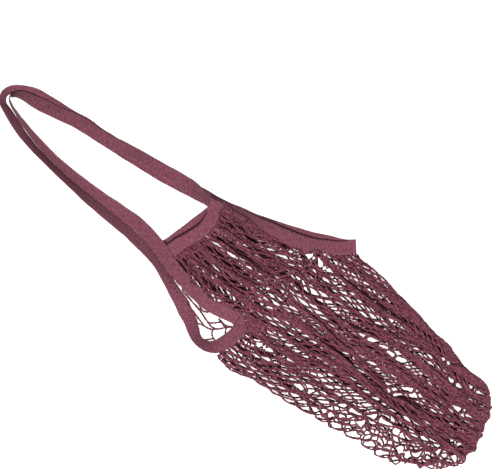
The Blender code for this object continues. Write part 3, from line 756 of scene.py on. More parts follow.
# The strings that span the left slit, in metres of the bag's plan
SLIT_THREADS = (
    ((-0.081, -0.044), (-0.084, -0.057), (-0.087, -0.067), (-0.090, -0.079), (-0.095, -0.093),
     (-0.0985, -0.103), (-0.097, -0.1125), (-0.091, -0.119), (-0.082, -0.128)),
    ((-0.079, -0.040), (-0.082, -0.049), (-0.086, -0.063), (-0.088, -0.075), (-0.092, -0.085),
     (-0.096, -0.0985), (-0.092, -0.105), (-0.086, -0.112), (-0.088, -0.118), (-0.088, -0.124)),
    ((-0.080, -0.050), (-0.0805, -0.062), (-0.082, -0.0705), (-0.0875, -0.082), (-0.086, -0.087),
     (-0.082, -0.091)),
    ((-0.084, -0.106), (-0.085, -0.112), (-0.086, -0.119), (-0.082, -0.130)),
    ((-0.107, -0.085), (-0.105, -0.089), (-0.104, -0.097), (-0.101, -0.108), (-0.097, -0.1125)),
    ((-0.101, -0.108), (-0.107, -0.111), (-0.1105, -0.116), (-0.112, -0.121)),
    ((-0.111, -0.091), (-0.117, -0.097), (-0.120, -0.1045), (-0.115, -0.112), (-0.110, -0.116)),
    ((-0.0885, -0.123), (-0.093, -0.124), (-0.097, -0.128)),
    ((-0.086, -0.049), (-0.092, -0.0615), (-0.0965, -0.074), (-0.100, -0.084), (-0.104, -0.097)),
    ((-0.083, -0.042), (-0.089, -0.058), (-0.096, -0.069), (-0.101, -0.078), (-0.107, -0.087)),
)

# The knitted tape: its mesh, ribs, and the slow waves of its edges and face
TAPE_STEP = 0.00045
TAPE_SPREAD = 1.05
RIB_PITCH = 0.0024
RIB_SHARE = 0.20
RIB_EDGE = 0.00045
WAVY_EDGE = 0.00030
WAVY_FACE = 0.00020
SLOW_WAVES = (210, 87)
SLOW_START = 1.3

# The strings' mesh: twist and unevenness as shares of the radius, and the shift of the colour noise to the
# next string, which moves the dye and the painted shade and highlight from string to string
STRING_STEP = 0.0020
STRING_SIDES = 8
TWIST_PITCH = 0.011
TWIST_SHARE = 0.18
UNEVEN_SHARE = 0.11
MOST_UNEVEN = 1.5
DYE_AND_PAINTED_LIGHT_SHIFT = 0.37

# Cotton colours, dark and light. The tape's are its uneven dye. The net's near-black dark colour is painted
# shade for the shade between and under the strings, and its light colour a painted highlight for lit strings;
# mixed at random, they are partly the net's uneven dye.
TAPE_DYES = ((0.068, 0.0185, 0.028, 1.0), (0.158, 0.046, 0.068, 1.0))
NET_DYE_AND_PAINTED_LIGHT = ((0.012, 0.0017, 0.0033, 1.0), (0.184, 0.044, 0.068, 1.0))

# The camera looks straight down: its picture's right-hand direction, centre and width, and its lens
VIEW_RIGHT = (0.574, -0.819)
VIEW_CENTRE = (0.0451, 0.0149)
VIEW_WIDTH = 0.700
LENS_LENGTH = 100.0
SENSOR_WIDTH = 36.0

# The tape's cross-section: shares of the half width and of the half thickness
TAPE_PROFILE = (
    # across, up
    (-1.00, 0.00), (-0.97, 0.62), (-0.86, 0.98), (-0.45, 0.86), (0.00, 0.84), (0.45, 0.86),
    (0.86, 0.98), (0.97, 0.62), (1.00, 0.00), (0.97, -0.62), (0.86, -0.98), (0.00, -0.90),
    (-0.86, -0.98), (-0.97, -0.62),
)


def ramp(value, length):
    """How far values have risen along a length, from 0 to 1."""
    return np.clip(value / length, 0, 1)


def wall_grid(patches, first_column, last_column, first_row, last_row):
    """The net's wall as a grid of places, with GRID_STEPS to a column and to a row."""
    columns = np.linspace(first_column, last_column, (last_column - first_column) * GRID_STEPS + 1)
    rows = np.linspace(first_row, last_row, (last_row - first_row) * GRID_STEPS + 1)
    grid = np.empty((len(columns), len(rows), 3))
    for i, column in enumerate(columns):
        for j, row in enumerate(rows):
            grid[i, j] = wall_point(patches, float(column), float(row))
    return grid


def look_up(grid, first_column, first_row, columns, rows):
    """Places between a grid's points, for arrays of columns and rows."""
    across = np.clip((columns - first_column) * GRID_STEPS, 0, grid.shape[0] - 1.001)
    down = np.clip((rows - first_row) * GRID_STEPS, 0, grid.shape[1] - 1.001)
    i, j = across.astype(int), down.astype(int)
    s, t = (across - i)[:, None], (down - j)[:, None]
    top = grid[i, j] * (1 - s) + grid[i + 1, j] * s
    low = grid[i, j + 1] * (1 - s) + grid[i + 1, j + 1] * s
    return top * (1 - t) + low * t


class StringNet:
    """The strings as chains of points. A string swings between its two neighbours as it goes down."""

    def __init__(self, patches):
        self.string, self.place, self.starts = [], [], {}
        count = 0
        for string in range(STRINGS):
            first = 0 if self.above_slits(string) else SLIT_HALF_ROWS
            steps = (HALF_ROWS - first) * POINTS_PER_HALF_ROW + 1
            self.starts[string] = (count, first, steps)
            self.string += [string] * steps
            self.place += [first + step / POINTS_PER_HALF_ROW for step in range(steps)]
            count += steps
        self.string = np.array(self.string)
        self.place = np.array(self.place)
        self.points = self.lay(patches)

    @staticmethod
    def above_slits(string):
        """Whether a string runs on to a mouth band, past the two slits."""
        column = (string + 0.5) / STRINGS * COLUMNS
        return SLIT_COLUMNS < column < RIGHT_SLIT_START or column > RIGHT_SLIT_END

    def index(self, string, half_row):
        """The number of a string's point at a half row, or None above its start."""
        start, first, steps = self.starts[string % STRINGS]
        if half_row < first:
            return None
        return start + (half_row - first) * POINTS_PER_HALF_ROW

    def lay(self, patches):
        """Each point's place on the CAD wall."""
        before = np.floor(self.place).astype(int)
        share = self.place - before
        share = share * share * (3 - 2 * share)
        left = self.string * STRING_PITCH + KNOT_INSET
        right = (self.string + 1) * STRING_PITCH - KNOT_INSET
        one = np.where((self.string + before) % 2 == 0, left, right)
        two = np.where((self.string + before) % 2 == 0, right, left)
        column = one * (1 - share) + two * share
        in_slits = self.place < SLIT_HALF_ROWS
        row = np.where(in_slits, self.place / SLIT_HALF_ROWS * SLIT_ROWS,
                       SLIT_ROWS + (self.place - SLIT_HALF_ROWS)
                       / (HALF_ROWS - SLIT_HALF_ROWS) * (ROWS - SLIT_ROWS))
        column = self.thinned(column, row)
        low_front = wall_grid(patches, 0, FRONT_COLUMNS, SLIT_ROWS, ROWS)
        low_back = wall_grid(patches, FRONT_COLUMNS, COLUMNS, SLIT_ROWS, ROWS)
        low_back[0] = low_front[-1]
        places = np.where((column <= FRONT_COLUMNS)[:, None],
                          look_up(low_front, 0, SLIT_ROWS, column, row),
                          look_up(low_back, FRONT_COLUMNS, SLIT_ROWS, column, row))
        top_front = wall_grid(patches, SLIT_COLUMNS, RIGHT_SLIT_START, 0, SLIT_ROWS)
        top_back = wall_grid(patches, RIGHT_SLIT_END, COLUMNS, 0, SLIT_ROWS)
        upper = np.where((column <= FRONT_COLUMNS)[:, None],
                         look_up(top_front, SLIT_COLUMNS, 0, column, row),
                         look_up(top_back, RIGHT_SLIT_END, 0, column, row))
        return np.where(in_slits[:, None], upper, places)

    def settle(self):
        """Relax the strings: their lengths, their ties, each other's thickness and the open places."""
        points = self.points
        held = self.held_points()
        self.loop_foot()
        self.flop_over_tape()
        sewn = points[held].copy()
        points += self.ripple(np.random.default_rng(RIPPLE_SEED))
        points[held] = sewn
        rest_place = points.copy()
        same = self.string[1:] == self.string[:-1]
        before = np.nonzero(same)[0]
        after = before + 1
        inner = np.nonzero(same[1:] & same[:-1])[0] + 1
        lengths = self.segment_lengths(before, after)
        knot_one, knot_two = self.ties()
        openings = self.open_places()
        beside_left = np.minimum(self.string, STRINGS - 1 - self.string) < RIM_STRINGS
        firmness = np.full((len(points), 3), FIRMNESS)
        firmness[:, 2] = HEIGHT_FIRMNESS
        firmness[beside_left, :2] = RIM_FIRMNESS
        straightening = np.where(beside_left, RIM_STRAIGHTENING, STRAIGHTENING)[inner][:, None]
        packed = STRING_DIAMETER * PACKED_SHARE
        for settling in range(SETTLING_ROUNDS):
            if settling % SEARCH_ROUNDS == 0:
                near_one, near_two = close_pairs(points, STRING_DIAMETER * SEARCH_REACH)
                apart = np.abs(near_one - near_two) > 2
                near_one, near_two = near_one[apart], near_two[apart]
            points += (rest_place - points) * firmness
            middle = (points[inner - 1] + points[inner + 1]) / 2
            points[inner] += (middle - points[inner]) * straightening
            self.open_up(points, *openings)
            gap, distance = gaps(points, near_one, near_two)
            push = np.clip(packed - distance, 0, None) / distance / 2 * PUSH_SHARE
            spread(points, near_one, near_two, gap * push[:, None])
            gap, distance = gaps(points, knot_one, knot_two)
            push = (packed - distance) / distance / 2
            spread(points, knot_one, knot_two, gap * push[:, None])
            for length_round in range(LENGTH_ROUNDS):
                gap, distance = gaps(points, before, after)
                push = (lengths - distance) / distance / 2
                spread(points, before, after, gap * push[:, None])
            points[held] = rest_place[held]
            points[:, 2] = np.maximum(points[:, 2], STRING_DIAMETER * LOWEST_SHARE)

    @staticmethod
    def thinned(column, row):
        """Columns drawn away from the left side, in the left slit and towards the foot."""
        low = THINNING * ramp(row - THIN_START, THIN_END - THIN_START)
        slit = SLIT_THINNING * np.sin(math.pi * ramp(row, SLIT_ROWS))
        front = FRONT_COLUMNS * (np.clip(column, 0, FRONT_COLUMNS) / FRONT_COLUMNS) ** (1 - low)
        reach = np.where(row < SLIT_ROWS, COLUMNS - RIGHT_SLIT_END, FRONT_COLUMNS)
        share = ramp(COLUMNS - column, reach)
        back = COLUMNS - reach * share ** (1 - np.where(row < SLIT_ROWS, slit, low))
        return np.where(column <= FRONT_COLUMNS, np.where(row < SLIT_ROWS, column, front), back)

    def segment_lengths(self, before, after):
        """The real length of each string between its points."""
        laid = np.linalg.norm(self.points[after] - self.points[before], axis=1)
        x, y = self.points[before, 0], self.points[before, 1]
        loose = ramp(LOOSE_TOP - y, LOOSE_BLEND) * ramp(LOOSE_RIGHT - x, LOOSE_BLEND)
        chords = laid * (SLACK + LOOSE_SLACK * loose)
        return np.maximum(chords, SHORTEST_HALF_ROW / POINTS_PER_HALF_ROW)

    def ties(self):
        """Pairs of points where two neighbouring strings are knotted. Every third knot is a long one."""
        one, two = [], []
        for half_row in range(HALF_ROWS):
            for left in range(half_row % 2 - 1, STRINGS - 1, 2):
                a, b = self.index(left, half_row), self.index(left + 1, half_row)
                if a is not None and b is not None:
                    knot_points = 2 if half_row % 3 == 0 else 1
                    for step in range(knot_points):
                        one.append(a + step)
                        two.append(b + step)
        return np.array(one), np.array(two)

    def held_points(self):
        """The points that are sewn to the tape, to the bands or into the foot."""
        held = []
        for string, (start, first, steps) in self.starts.items():
            held += [start, start + steps - 1]
        for half_row in range(0, SLIT_HALF_ROWS + 1, 2):
            for string in SEWN_STRINGS:
                held.append(self.index(string, half_row))
        return np.array(held)

    def loop_foot(self):
        """Draw the strings' ends out and in along the foot, so that the foot seam makes loops."""
        ends = self.foot_ends()
        for wall in (0, 1):
            wall_ends = ends[wall * FRONT_STRINGS:(wall + 1) * FRONT_STRINGS]
            line = self.points[wall_ends]
            outward = unit(np.cross(np.gradient(line, axis=0), (0.0, 0.0, 1.0 if wall else -1.0)))
            number = np.arange(len(line))
            drift = LOOP_DRIFT * np.sin(number * LOOP_DRIFT_RATE + wall * 2.0)
            turn = number * 2 * math.pi / FOOT_LOOP + drift
            change = LOOP_MEAN + LOOP_CHANGE * np.sin(number * LOOP_CHANGE_RATE + wall)
            depth = FOOT_DEPTH * (0.5 + np.sin(turn)) * change
            from_right = (line[:, 0].max() - line[:, 0]) / np.ptp(line[:, 0])
            depth *= LOOP_RIGHT + LOOP_GROWTH * from_right
            self.points[wall_ends] -= outward * depth[:, None]

    def flop_over_tape(self):
        """Lift the front wall's last strings over the tape beside the mouth's right end."""
        column = self.string * STRING_PITCH
        beside = ramp(column - RIGHT_SLIT_START + FLOP_COLUMNS, FLOP_COLUMNS)
        beside *= (column < FRONT_COLUMNS) & (self.place < SLIT_HALF_ROWS)
        share = self.place / SLIT_HALF_ROWS
        rise = (1 - ramp(share, FLOP_SHARE)) * beside
        self.points[:, 0] += rise * FLOP_WIDTH
        self.points[:, 2] += rise * FLOP_HEIGHT

    def foot_ends(self):
        """The numbers of the strings' last points, around the tube."""
        return np.array([start + steps - 1 for start, first, steps in self.starts.values()])

    def ripple(self, generator):
        """An uneven shift of the strings, so that they bunch."""
        x, y = self.points[:, 0], self.points[:, 1]
        front = self.string < FRONT_STRINGS
        shift = np.zeros((len(x), 3))
        for wave in range(WAVES):
            across, along = generator.uniform(*WAVES_ACROSS), generator.uniform(*WAVES_ALONG)
            phase, later = generator.uniform(0, 2 * math.pi, 2)
            size = BUNCHING / across
            turn = np.where(front, phase, phase if wave % 3 else later)
            shift[:, 0] += size * np.sin(across * x + along * y + turn)
            shift[:, 2] += WAVE_LIFT * size * np.sin(across * x - along * y + 2 * turn) * front
        column = self.string / STRINGS * COLUMNS
        from_side = np.minimum(np.abs(column - FRONT_COLUMNS), np.minimum(column, COLUMNS - column))
        shift *= np.clip(from_side / CALM_COLUMNS, CALM_SHARE, 1.0)[:, None]
        for place, width, top, bottom, pull in DENSE_BANDS:
            reach = ramp(top - y, DENSE_BLEND) * ramp(y - bottom, DENSE_BLEND)
            share = (x - place) / width
            shift[:, 0] -= pull * width * share * np.exp(-share ** 2 / 2) * reach
        return shift + generator.normal(0, UNEVENNESS, shift.shape)

    def nearest_cell(self, first, x, y):
        """The cell of a wall nearest to a place: how far it is, its left string and its height along Y."""
        best, cell, along = 1.0, None, y
        for string in range(first, first + FRONT_STRINGS - 1):
            for half_row in range(1, HALF_ROWS):
                if (string + half_row) % 2 == 0:
                    continue
                a, b = self.index(string, half_row), self.index(string + 1, half_row)
                if a is None or b is None:
                    continue
                centre = (self.points[a] + self.points[b]) / 2
                far = math.hypot(centre[0] - x, (centre[1] - y) * CELL_ALONG)
                if far < best:
                    best, cell, along = far, string, centre[1]
        return best, cell, along

    def open_places(self):
        """For each open place and wall, the points near it and the side that each keeps to."""
        points, places, sides = [], [], []
        for x, y, half_width, half_height in OPEN_PLACES:
            for wall in (0, 1):
                first = wall * FRONT_STRINGS
                far, cell, along = self.nearest_cell(first, x, y)
                if far > CELL_REACH:
                    continue
                near = ((self.string >= first) & (self.string < first + FRONT_STRINGS)
                        & (np.abs(self.points[:, 0] - x) < half_width + GIVING_WIDTH)
                        & (np.abs(self.points[:, 1] - along) < half_height * GIVING_HEIGHT))
                chosen = np.nonzero(near)[0]
                points.append(chosen)
                places.append(np.tile((x, along, half_width, half_height), (len(chosen), 1)))
                sides.append(np.where(self.string[chosen] <= cell, -1.0, 1.0) * (1 if wall == 0 else -1))
        return np.concatenate(points), np.concatenate(places), np.concatenate(sides)

    @staticmethod
    def open_up(points, chosen, places, sides):
        """Push the strings beside the open places out to their rims."""
        x, y, half_width, half_height = places.T
        height = np.clip(1 - ((points[chosen, 1] - y) / half_height) ** 2, 0, None)
        rim = (half_width + STRING_DIAMETER / 2) * np.sqrt(height)
        inside = np.clip(rim - (points[chosen, 0] - x) * sides, 0, GIVING_WIDTH) * (height > 0)
        points[chosen, 0] += inside * sides * GIVING_SHARE


def gaps(points, one, two):
    """The gap from each point of one list to its partner in the other, and its length."""
    gap = points[two] - points[one]
    return gap, np.maximum(np.linalg.norm(gap, axis=1), 1e-6)


def spread(points, one, two, push):
    """Move pairs of points apart by a push each, shared out where a point has several."""
    size = len(points)
    moved = np.zeros((size, 3))
    number = np.bincount(one, minlength=size) + np.bincount(two, minlength=size)
    for axis in range(3):
        moved[:, axis] = np.bincount(two, push[:, axis], size) - np.bincount(one, push[:, axis], size)
    points += moved / np.maximum(number, 1)[:, None] * OVERSHOOT


def close_pairs(points, reach):
    """Pairs of points closer than a reach, found cell by cell."""
    cells = np.floor(points / reach).astype(np.int64)
    cells -= cells.min(axis=0) - 1
    extent = cells.max(axis=0) + 2
    keys = (cells[:, 0] * extent[1] + cells[:, 1]) * extent[2] + cells[:, 2]
    order = np.argsort(keys, kind="stable")
    sorted_keys = keys[order]
    found_one, found_two = [], []
    for dx in (-1, 0, 1):
        for dy in (-1, 0, 1):
            for dz in (-1, 0, 1):
                step = (dx * extent[1] + dy) * extent[2] + dz
                if step < 0:
                    continue
                first = np.searchsorted(sorted_keys, keys + step, "left")
                last = np.searchsorted(sorted_keys, keys + step, "right")
                number = last - first
                one = np.repeat(np.arange(len(points)), number)
                rank = np.arange(len(one)) - np.repeat(np.cumsum(number) - number, number)
                two = order[np.repeat(first, number) + rank]
                keep = (one < two) if step == 0 else (one != two)
                one, two = one[keep], two[keep]
                near = np.linalg.norm(points[one] - points[two], axis=1) < reach
                found_one.append(one[near])
                found_two.append(two[near])
    return np.concatenate(found_one), np.concatenate(found_two)


def resampled(line, step):
    """A line of places at even steps, smooth between the given ones."""
    line = np.asarray(line)
    spans = np.linalg.norm(np.diff(line, axis=0), axis=1)
    places = np.concatenate([[0], np.cumsum(spans)])
    count = max(2, int(round(places[-1] / step)) + 1)
    wanted = np.linspace(0, places[-1], count)
    slopes = np.gradient(line, places, axis=0)
    index = np.clip(np.searchsorted(places, wanted, "right") - 1, 0, len(line) - 2)
    span = places[index + 1] - places[index]
    t = ((wanted - places[index]) / span)[:, None]
    span = span[:, None]
    return between(line[index], line[index + 1], slopes[index], slopes[index + 1], span, t)


def unit(vectors):
    """Vectors of length 1."""
    return vectors / np.maximum(np.linalg.norm(vectors, axis=-1, keepdims=True), 1e-9)


def ring_faces(rings, sides, closed):
    """Four-sided faces between rings of points."""
    ring, side = np.meshgrid(np.arange(rings if closed else rings - 1), np.arange(sides), indexing="ij")
    ring, side = ring.ravel(), side.ravel()
    after, turn = (ring + 1) % rings, (side + 1) % sides
    return np.stack([ring * sides + side, after * sides + side,
                     after * sides + turn, ring * sides + turn], axis=1)


def add_piece(name, points, faces, uv, material, shift):
    """A smooth shaded mesh piece that rides with the bag, moved into the shared frame."""
    points[:, 2] = np.maximum(points[:, 2], 0.0)
    mesh = bpy.data.meshes.new(name)
    mesh.vertices.add(len(points))
    mesh.vertices.foreach_set("co", (points + shift).ravel().astype(np.float32))
    mesh.loops.add(faces.size)
    mesh.loops.foreach_set("vertex_index", faces.ravel().astype(np.int32))
    mesh.polygons.add(len(faces))
    mesh.polygons.foreach_set("loop_start", np.arange(0, faces.size, 4, dtype=np.int32))
    mesh.update(calc_edges=True)
    layer = mesh.uv_layers.new(name="cloth")
    layer.data.foreach_set("uv", uv[faces.ravel()].ravel().astype(np.float32))
    mesh.polygons.foreach_set("use_smooth", np.ones(len(faces), dtype=bool))
    mesh.materials.append(material)
    mesh.validate()
    piece = bpy.data.objects.new(name, mesh)
    bpy.context.scene.collection.objects.link(piece)
    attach(piece, "root")
    return piece


def at_places(line, places, wanted):
    """A line's points at wanted places along it, straight between the given ones."""
    return np.stack([np.interp(wanted, places, line[:, axis]) for axis in range(3)], axis=1)


def knitted_strip(name, sections, closed, material, shift):
    """A knitted band along sections of (net edge, free edge) points, ribbed across."""
    net_edge = np.array([tuple(section[0]) for section in sections])
    free_edge = np.array([tuple(section[1]) for section in sections])
    if closed:
        net_edge = np.vstack([net_edge, net_edge[:1]])
        free_edge = np.vstack([free_edge, free_edge[:1]])
    middle = (net_edge + free_edge) / 2
    places = np.concatenate([[0], np.cumsum(np.linalg.norm(np.diff(middle, axis=0), axis=1))])
    ribs = round(places[-1] / RIB_PITCH)
    count = int(places[-1] / TAPE_STEP)
    wanted = np.linspace(0, places[-1], count, endpoint=not closed)
    net_edge = at_places(net_edge, places, wanted)
    free_edge = at_places(free_edge, places, wanted)
    middle = (net_edge + free_edge) / 2
    if closed:
        travel = np.roll(middle, -3, axis=0) - np.roll(middle, 3, axis=0)
    else:
        travel = np.gradient(middle, axis=0)
    across = unit(free_edge - net_edge)
    up = unit(np.cross(unit(travel), across))
    half = np.linalg.norm(free_edge - net_edge, axis=1) / 2
    rib = np.cos(2 * math.pi * ribs * wanted / places[-1])
    slow = np.sin(wanted * SLOW_WAVES[0]) * 0.5 + np.sin(wanted * SLOW_WAVES[1] + SLOW_START) * 0.5
    rings = []
    for side, height in TAPE_PROFILE:
        at_edge = abs(side) > 0.9
        wavy = (RIB_EDGE * rib + WAVY_EDGE * slow) * side if at_edge else WAVY_FACE * slow * side
        reach = half * TAPE_SPREAD * side + wavy
        thick = TAPE_THICKNESS / 2 * height * (1 - RIB_SHARE + RIB_SHARE * rib)
        rings.append(middle + across * reach[..., None] + up * thick[:, None])
    points = np.stack(rings, axis=1).reshape(-1, 3)
    sides = len(TAPE_PROFILE)
    faces = ring_faces(count, sides, closed)
    if not closed:
        cap = np.arange(sides)
        faces = np.vstack([faces, cap_faces(cap), cap_faces(cap + (count - 1) * sides)[:, ::-1]])
    uv = np.stack([np.repeat(wanted, sides),
                   np.tile([side for side, height in TAPE_PROFILE], count) * TAPE_WIDTH / 2], axis=1)
    return add_piece(name, points, faces, uv, material, shift)


def cap_faces(ring):
    """Four-sided faces that close a ring of points."""
    half = len(ring) // 2
    return np.array([(ring[i], ring[i + 1], ring[-2 - i], ring[-1 - i]) for i in range(half - 1)])


def clear_of_slit(line):
    """A back string's stretches outside the left slit's opening, whose own strings are listed."""
    inside = (line[:, 0] < SLIT_RIGHT_END) & (line[:, 1] > SLIT_LOWER_END)
    cuts = np.nonzero(np.diff(inside.astype(int)))[0] + 1
    starts = np.concatenate([[0], cuts])
    parts = zip(np.split(line, cuts), starts)
    return [part for part, start in parts if not inside[start] and len(part) > 3]


def string_tubes(name, lines, diameter, material, shift):
    """Tubes of twisted, uneven cotton along lines."""
    generator = np.random.default_rng(len(lines))
    all_points, all_faces, all_uv, count = [], [], [], 0
    for number, line in enumerate(lines):
        path = resampled(line, STRING_STEP)
        travel = unit(np.gradient(path, axis=0))
        side = unit(np.cross(travel, (0.0, 0.0, 1.0)))
        up = np.cross(side, travel)
        along = np.arange(len(path)) * STRING_STEP
        angle = np.arange(STRING_SIDES) * 2 * math.pi / STRING_SIDES
        twist = 2 * math.pi * along / TWIST_PITCH + number
        radius = diameter / 2 * (1 + TWIST_SHARE * np.cos(2 * (angle[None, :] - twist[:, None])))
        uneven = generator.normal(0, 1, (len(path), 1)).clip(-MOST_UNEVEN, MOST_UNEVEN)
        radius = radius * (1 + UNEVEN_SHARE * uneven)
        ring = (side[:, None] * np.cos(angle)[None, :, None] + up[:, None] * np.sin(angle)[None, :, None])
        points = path[:, None] + ring * radius[..., None]
        all_points.append(points.reshape(-1, 3))
        all_faces.append(ring_faces(len(path), STRING_SIDES, False) + count)
        # Each string's own shift of the colour noise: its dye and its painted shade and highlight differ from
        # its neighbours'.
        shifted = along[:, None] + number * DYE_AND_PAINTED_LIGHT_SHIFT
        uv = np.stack(np.broadcast_arrays(shifted, angle[None, :] * diameter / 2), axis=-1)
        all_uv.append(uv.reshape(-1, 2))
        count += points.shape[0] * points.shape[1]
    return add_piece(name, np.vstack(all_points), np.vstack(all_faces), np.vstack(all_uv), material, shift)


def mixed(nodes, links, factor, one, two):
    """A colour that goes from one to two with a factor."""
    # The stretch sharpens the change between the two colours; in the net, that is between painted shade and
    # painted highlight.
    stretch = nodes.new("ShaderNodeMapRange")
    stretch.inputs["From Min"].default_value = 0.34
    stretch.inputs["From Max"].default_value = 0.66
    links.new(factor, stretch.inputs["Value"])
    mix = nodes.new("ShaderNodeMix")
    mix.data_type = "RGBA"
    links.new(stretch.outputs["Result"], mix.inputs[0])
    mix.inputs[6].default_value = one
    mix.inputs[7].default_value = two
    return mix.outputs[2]


def cotton(name, dark, light, grain, rib_scale, bump_height):
    """Dull cotton: uneven colour in grains (dye, and with the net's colours also painted shade and painted
    highlight), fine fibres, and ribs along the cloth's first coordinate.
    """
    material = bpy.data.materials.new(name)
    material.use_nodes = True
    nodes, links = material.node_tree.nodes, material.node_tree.links
    shader = nodes["Principled BSDF"]
    shader.inputs["Roughness"].default_value = 0.92
    shader.inputs["Specular IOR Level"].default_value = 0.2
    shader.inputs["Sheen Weight"].default_value = 0.10
    shader.inputs["Sheen Roughness"].default_value = 0.5
    shader.inputs["Sheen Tint"].default_value = (0.9, 0.62, 0.72, 1.0)
    place = nodes.new("ShaderNodeTexCoord")
    # Noise that picks between the dark and the light colour: dye, and in the net also painted shade and
    # painted highlight.
    dye_and_painted_light = nodes.new("ShaderNodeTexNoise")
    dye_and_painted_light.inputs["Scale"].default_value = 1.0
    dye_and_painted_light.inputs["Detail"].default_value = 4.0
    grains = nodes.new("ShaderNodeMapping")
    grains.inputs["Scale"].default_value = (grain[0], grain[1], 1.0)
    links.new(place.outputs["UV"], grains.inputs["Vector"])
    links.new(grains.outputs["Vector"], dye_and_painted_light.inputs["Vector"])
    links.new(mixed(nodes, links, dye_and_painted_light.outputs["Fac"], dark, light), shader.inputs["Base Color"])
    fibres = nodes.new("ShaderNodeTexNoise")
    fibres.inputs["Scale"].default_value = 1500.0
    fibres.inputs["Detail"].default_value = 2.0
    links.new(place.outputs["Object"], fibres.inputs["Vector"])
    wave = nodes.new("ShaderNodeTexWave")
    wave.inputs["Scale"].default_value = rib_scale
    wave.inputs["Distortion"].default_value = 1.5
    links.new(place.outputs["UV"], wave.inputs["Vector"])
    added = nodes.new("ShaderNodeMath")
    added.operation = "ADD"
    links.new(fibres.outputs["Fac"], added.inputs[0])
    links.new(wave.outputs["Fac"], added.inputs[1])
    bump = nodes.new("ShaderNodeBump")
    bump.inputs["Strength"].default_value = 0.6
    bump.inputs["Distance"].default_value = bump_height
    links.new(added.outputs["Value"], bump.inputs["Height"])
    links.new(bump.outputs["Normal"], shader.inputs["Normal"])
    return material


def end_over_tape(edges):
    """A mouth band's (lower, upper) edge points, carried on over the tape at its right end."""
    upper, lower = list(edges[0]), list(edges[1])
    turn = left_hand(upper[-1] - lower[-1]) * -1
    for step in range(1, END_STEPS + 1):
        share = step / END_STEPS
        rise = Vector((0.0, 0.0, END_RISE * math.sin(math.pi / 2 * share)))
        upper.append(edges[0][-1] + turn * END_LENGTH * share + rise)
        lower.append(edges[1][-1] + turn * END_LENGTH * share + rise)
    return list(zip(lower, upper))


def build_cloth():
    """Every shown piece of the bag."""
    tape = tape_lines()
    front_seam = seam_line(tape[0], True)
    back_seam = seam_line(tape[2], True)
    front_half, back_half = len(front_seam) // 2, len(back_seam) // 2
    front_band = mouth_band_edges(FRONT_BAND, front_seam[:front_half],
                                  front_seam[front_half:][::-1], FRONT_BAND_ENDS)
    back_band = mouth_band_edges(BACK_BAND, back_seam[back_half:][::-1],
                                 back_seam[:back_half], BACK_BAND_ENDS)
    patches = net_patches(tape, offset_line(front_band[1], front_band[0]),
                          offset_line(back_band[1], back_band[0]))
    tape_cotton = cotton("tape_cotton", *TAPE_DYES, grain=(640.0, 170.0), rib_scale=130.0, bump_height=0.0006)
    # The net's colours hold painted shade and painted highlight besides its uneven dye.
    net_cotton = cotton("net_cotton", *NET_DYE_AND_PAINTED_LIGHT, grain=(330.0, 330.0), rib_scale=300.0, bump_height=0.0004)

    sections = tape[0] + tape[1] + tape[2] + tape[3]
    low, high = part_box("handle_tape")
    shift = np.zeros(3)
    for axis in (0, 1):
        places = [point[axis] for section in sections for point in section]
        shift[axis] = (low[axis] + high[axis]) / 2 - (min(places) + max(places)) / 2
    handle = knitted_strip("tape_and_handles", sections, True, tape_cotton, shift)
    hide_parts("handle_tape")
    for name, sections, node in (("band_front", end_over_tape(front_band), "mouth_band_front"),
                                 ("band_back", list(zip(back_band[1], back_band[0])), "mouth_band_back")):
        band = knitted_strip(name, sections, False, tape_cotton, shift)
        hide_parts(node)

    net = StringNet(patches)
    net.settle()
    quarter = STRINGS // 4
    for part in range(4):
        lines = []
        for string in range(part * quarter, (part + 1) * quarter):
            start, first, steps = net.starts[string]
            line = net.points[start:start + steps]
            lines += [line] if string < FRONT_STRINGS else clear_of_slit(line)
        strings = string_tubes("net_strings_%d" % (part + 1), lines, STRING_DIAMETER, net_cotton, shift)
        if part == 0:
            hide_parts("net_body")
    threads = [[(x, y, SLIT_HEIGHT) for x, y in thread] for thread in SLIT_THREADS]
    string_tubes("slit_strings", threads, STRING_DIAMETER, net_cotton, shift)
    ends = net.points[net.foot_ends()]
    walls = [ends[:FRONT_STRINGS], ends[FRONT_STRINGS:]]
    foot = string_tubes("foot_seam", walls, STRING_DIAMETER, net_cotton, shift)


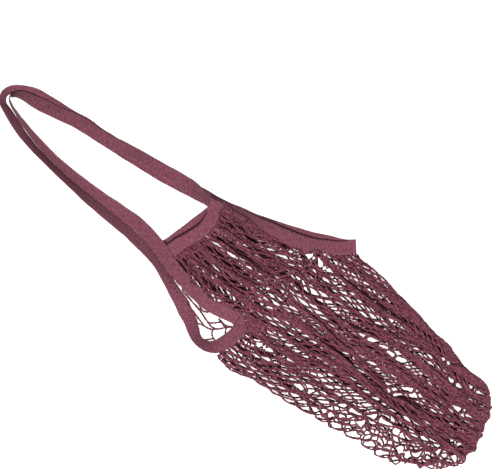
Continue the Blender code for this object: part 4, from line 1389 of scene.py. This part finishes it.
def soft_light(name, place, size, power):
    """An area lamp that points at the bag."""
    lamp = bpy.data.lights.new(name, "AREA")
    lamp.shape = "DISK"
    lamp.size = size
    lamp.energy = power
    holder = bpy.data.objects.new(name, lamp)
    holder.location = place
    holder.rotation_mode = "QUATERNION"
    holder.rotation_quaternion = (-Vector(place)).to_track_quat("-Z", "Y")
    bpy.context.scene.collection.objects.link(holder)


def build_studio():
    """The pale floor, the soft light and the camera that looks straight down."""
    bpy.ops.mesh.primitive_plane_add(size=12.0)
    floor = bpy.context.object
    floor.name = "floor"
    material = bpy.data.materials.new("pale_floor")
    material.use_nodes = True
    shader = material.node_tree.nodes["Principled BSDF"]
    shader.inputs["Base Color"].default_value = (0.45, 0.45, 0.45, 1.0)
    shader.inputs["Roughness"].default_value = 0.9
    shader.inputs["Specular IOR Level"].default_value = 0.1
    shader.inputs["Emission Color"].default_value = (1.0, 1.0, 1.0, 1.0)
    shader.inputs["Emission Strength"].default_value = 0.95
    floor.data.materials.append(material)
    world = bpy.data.worlds.new("studio")
    bpy.context.scene.world = world
    world.use_nodes = True
    background = world.node_tree.nodes["Background"]
    background.inputs["Color"].default_value = (1.0, 1.0, 1.0, 1.0)
    background.inputs["Strength"].default_value = 0.20
    soft_light("key", place=(-0.75, -0.30, 2.1), size=0.5, power=96.0)
    soft_light("fill", place=(0.9, 0.3, 2.0), size=1.2, power=16.0)

    lens = bpy.data.cameras.new("camera")
    lens.lens = LENS_LENGTH
    lens.sensor_width = SENSOR_WIDTH
    lens.dof.use_dof = False
    camera = bpy.data.objects.new("camera", lens)
    bpy.context.scene.collection.objects.link(camera)
    bpy.context.scene.camera = camera
    right = Vector((*VIEW_RIGHT, 0.0)).normalized()
    up = left_hand(right)
    camera.location = (*VIEW_CENTRE, VIEW_WIDTH * LENS_LENGTH / SENSOR_WIDTH)
    camera.rotation_mode = "QUATERNION"
    camera.rotation_quaternion = Matrix((right, up, right.cross(up))).transposed().to_quaternion()
    bpy.context.scene.view_settings.view_transform = "Standard"


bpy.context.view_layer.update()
build_cloth()
build_studio()
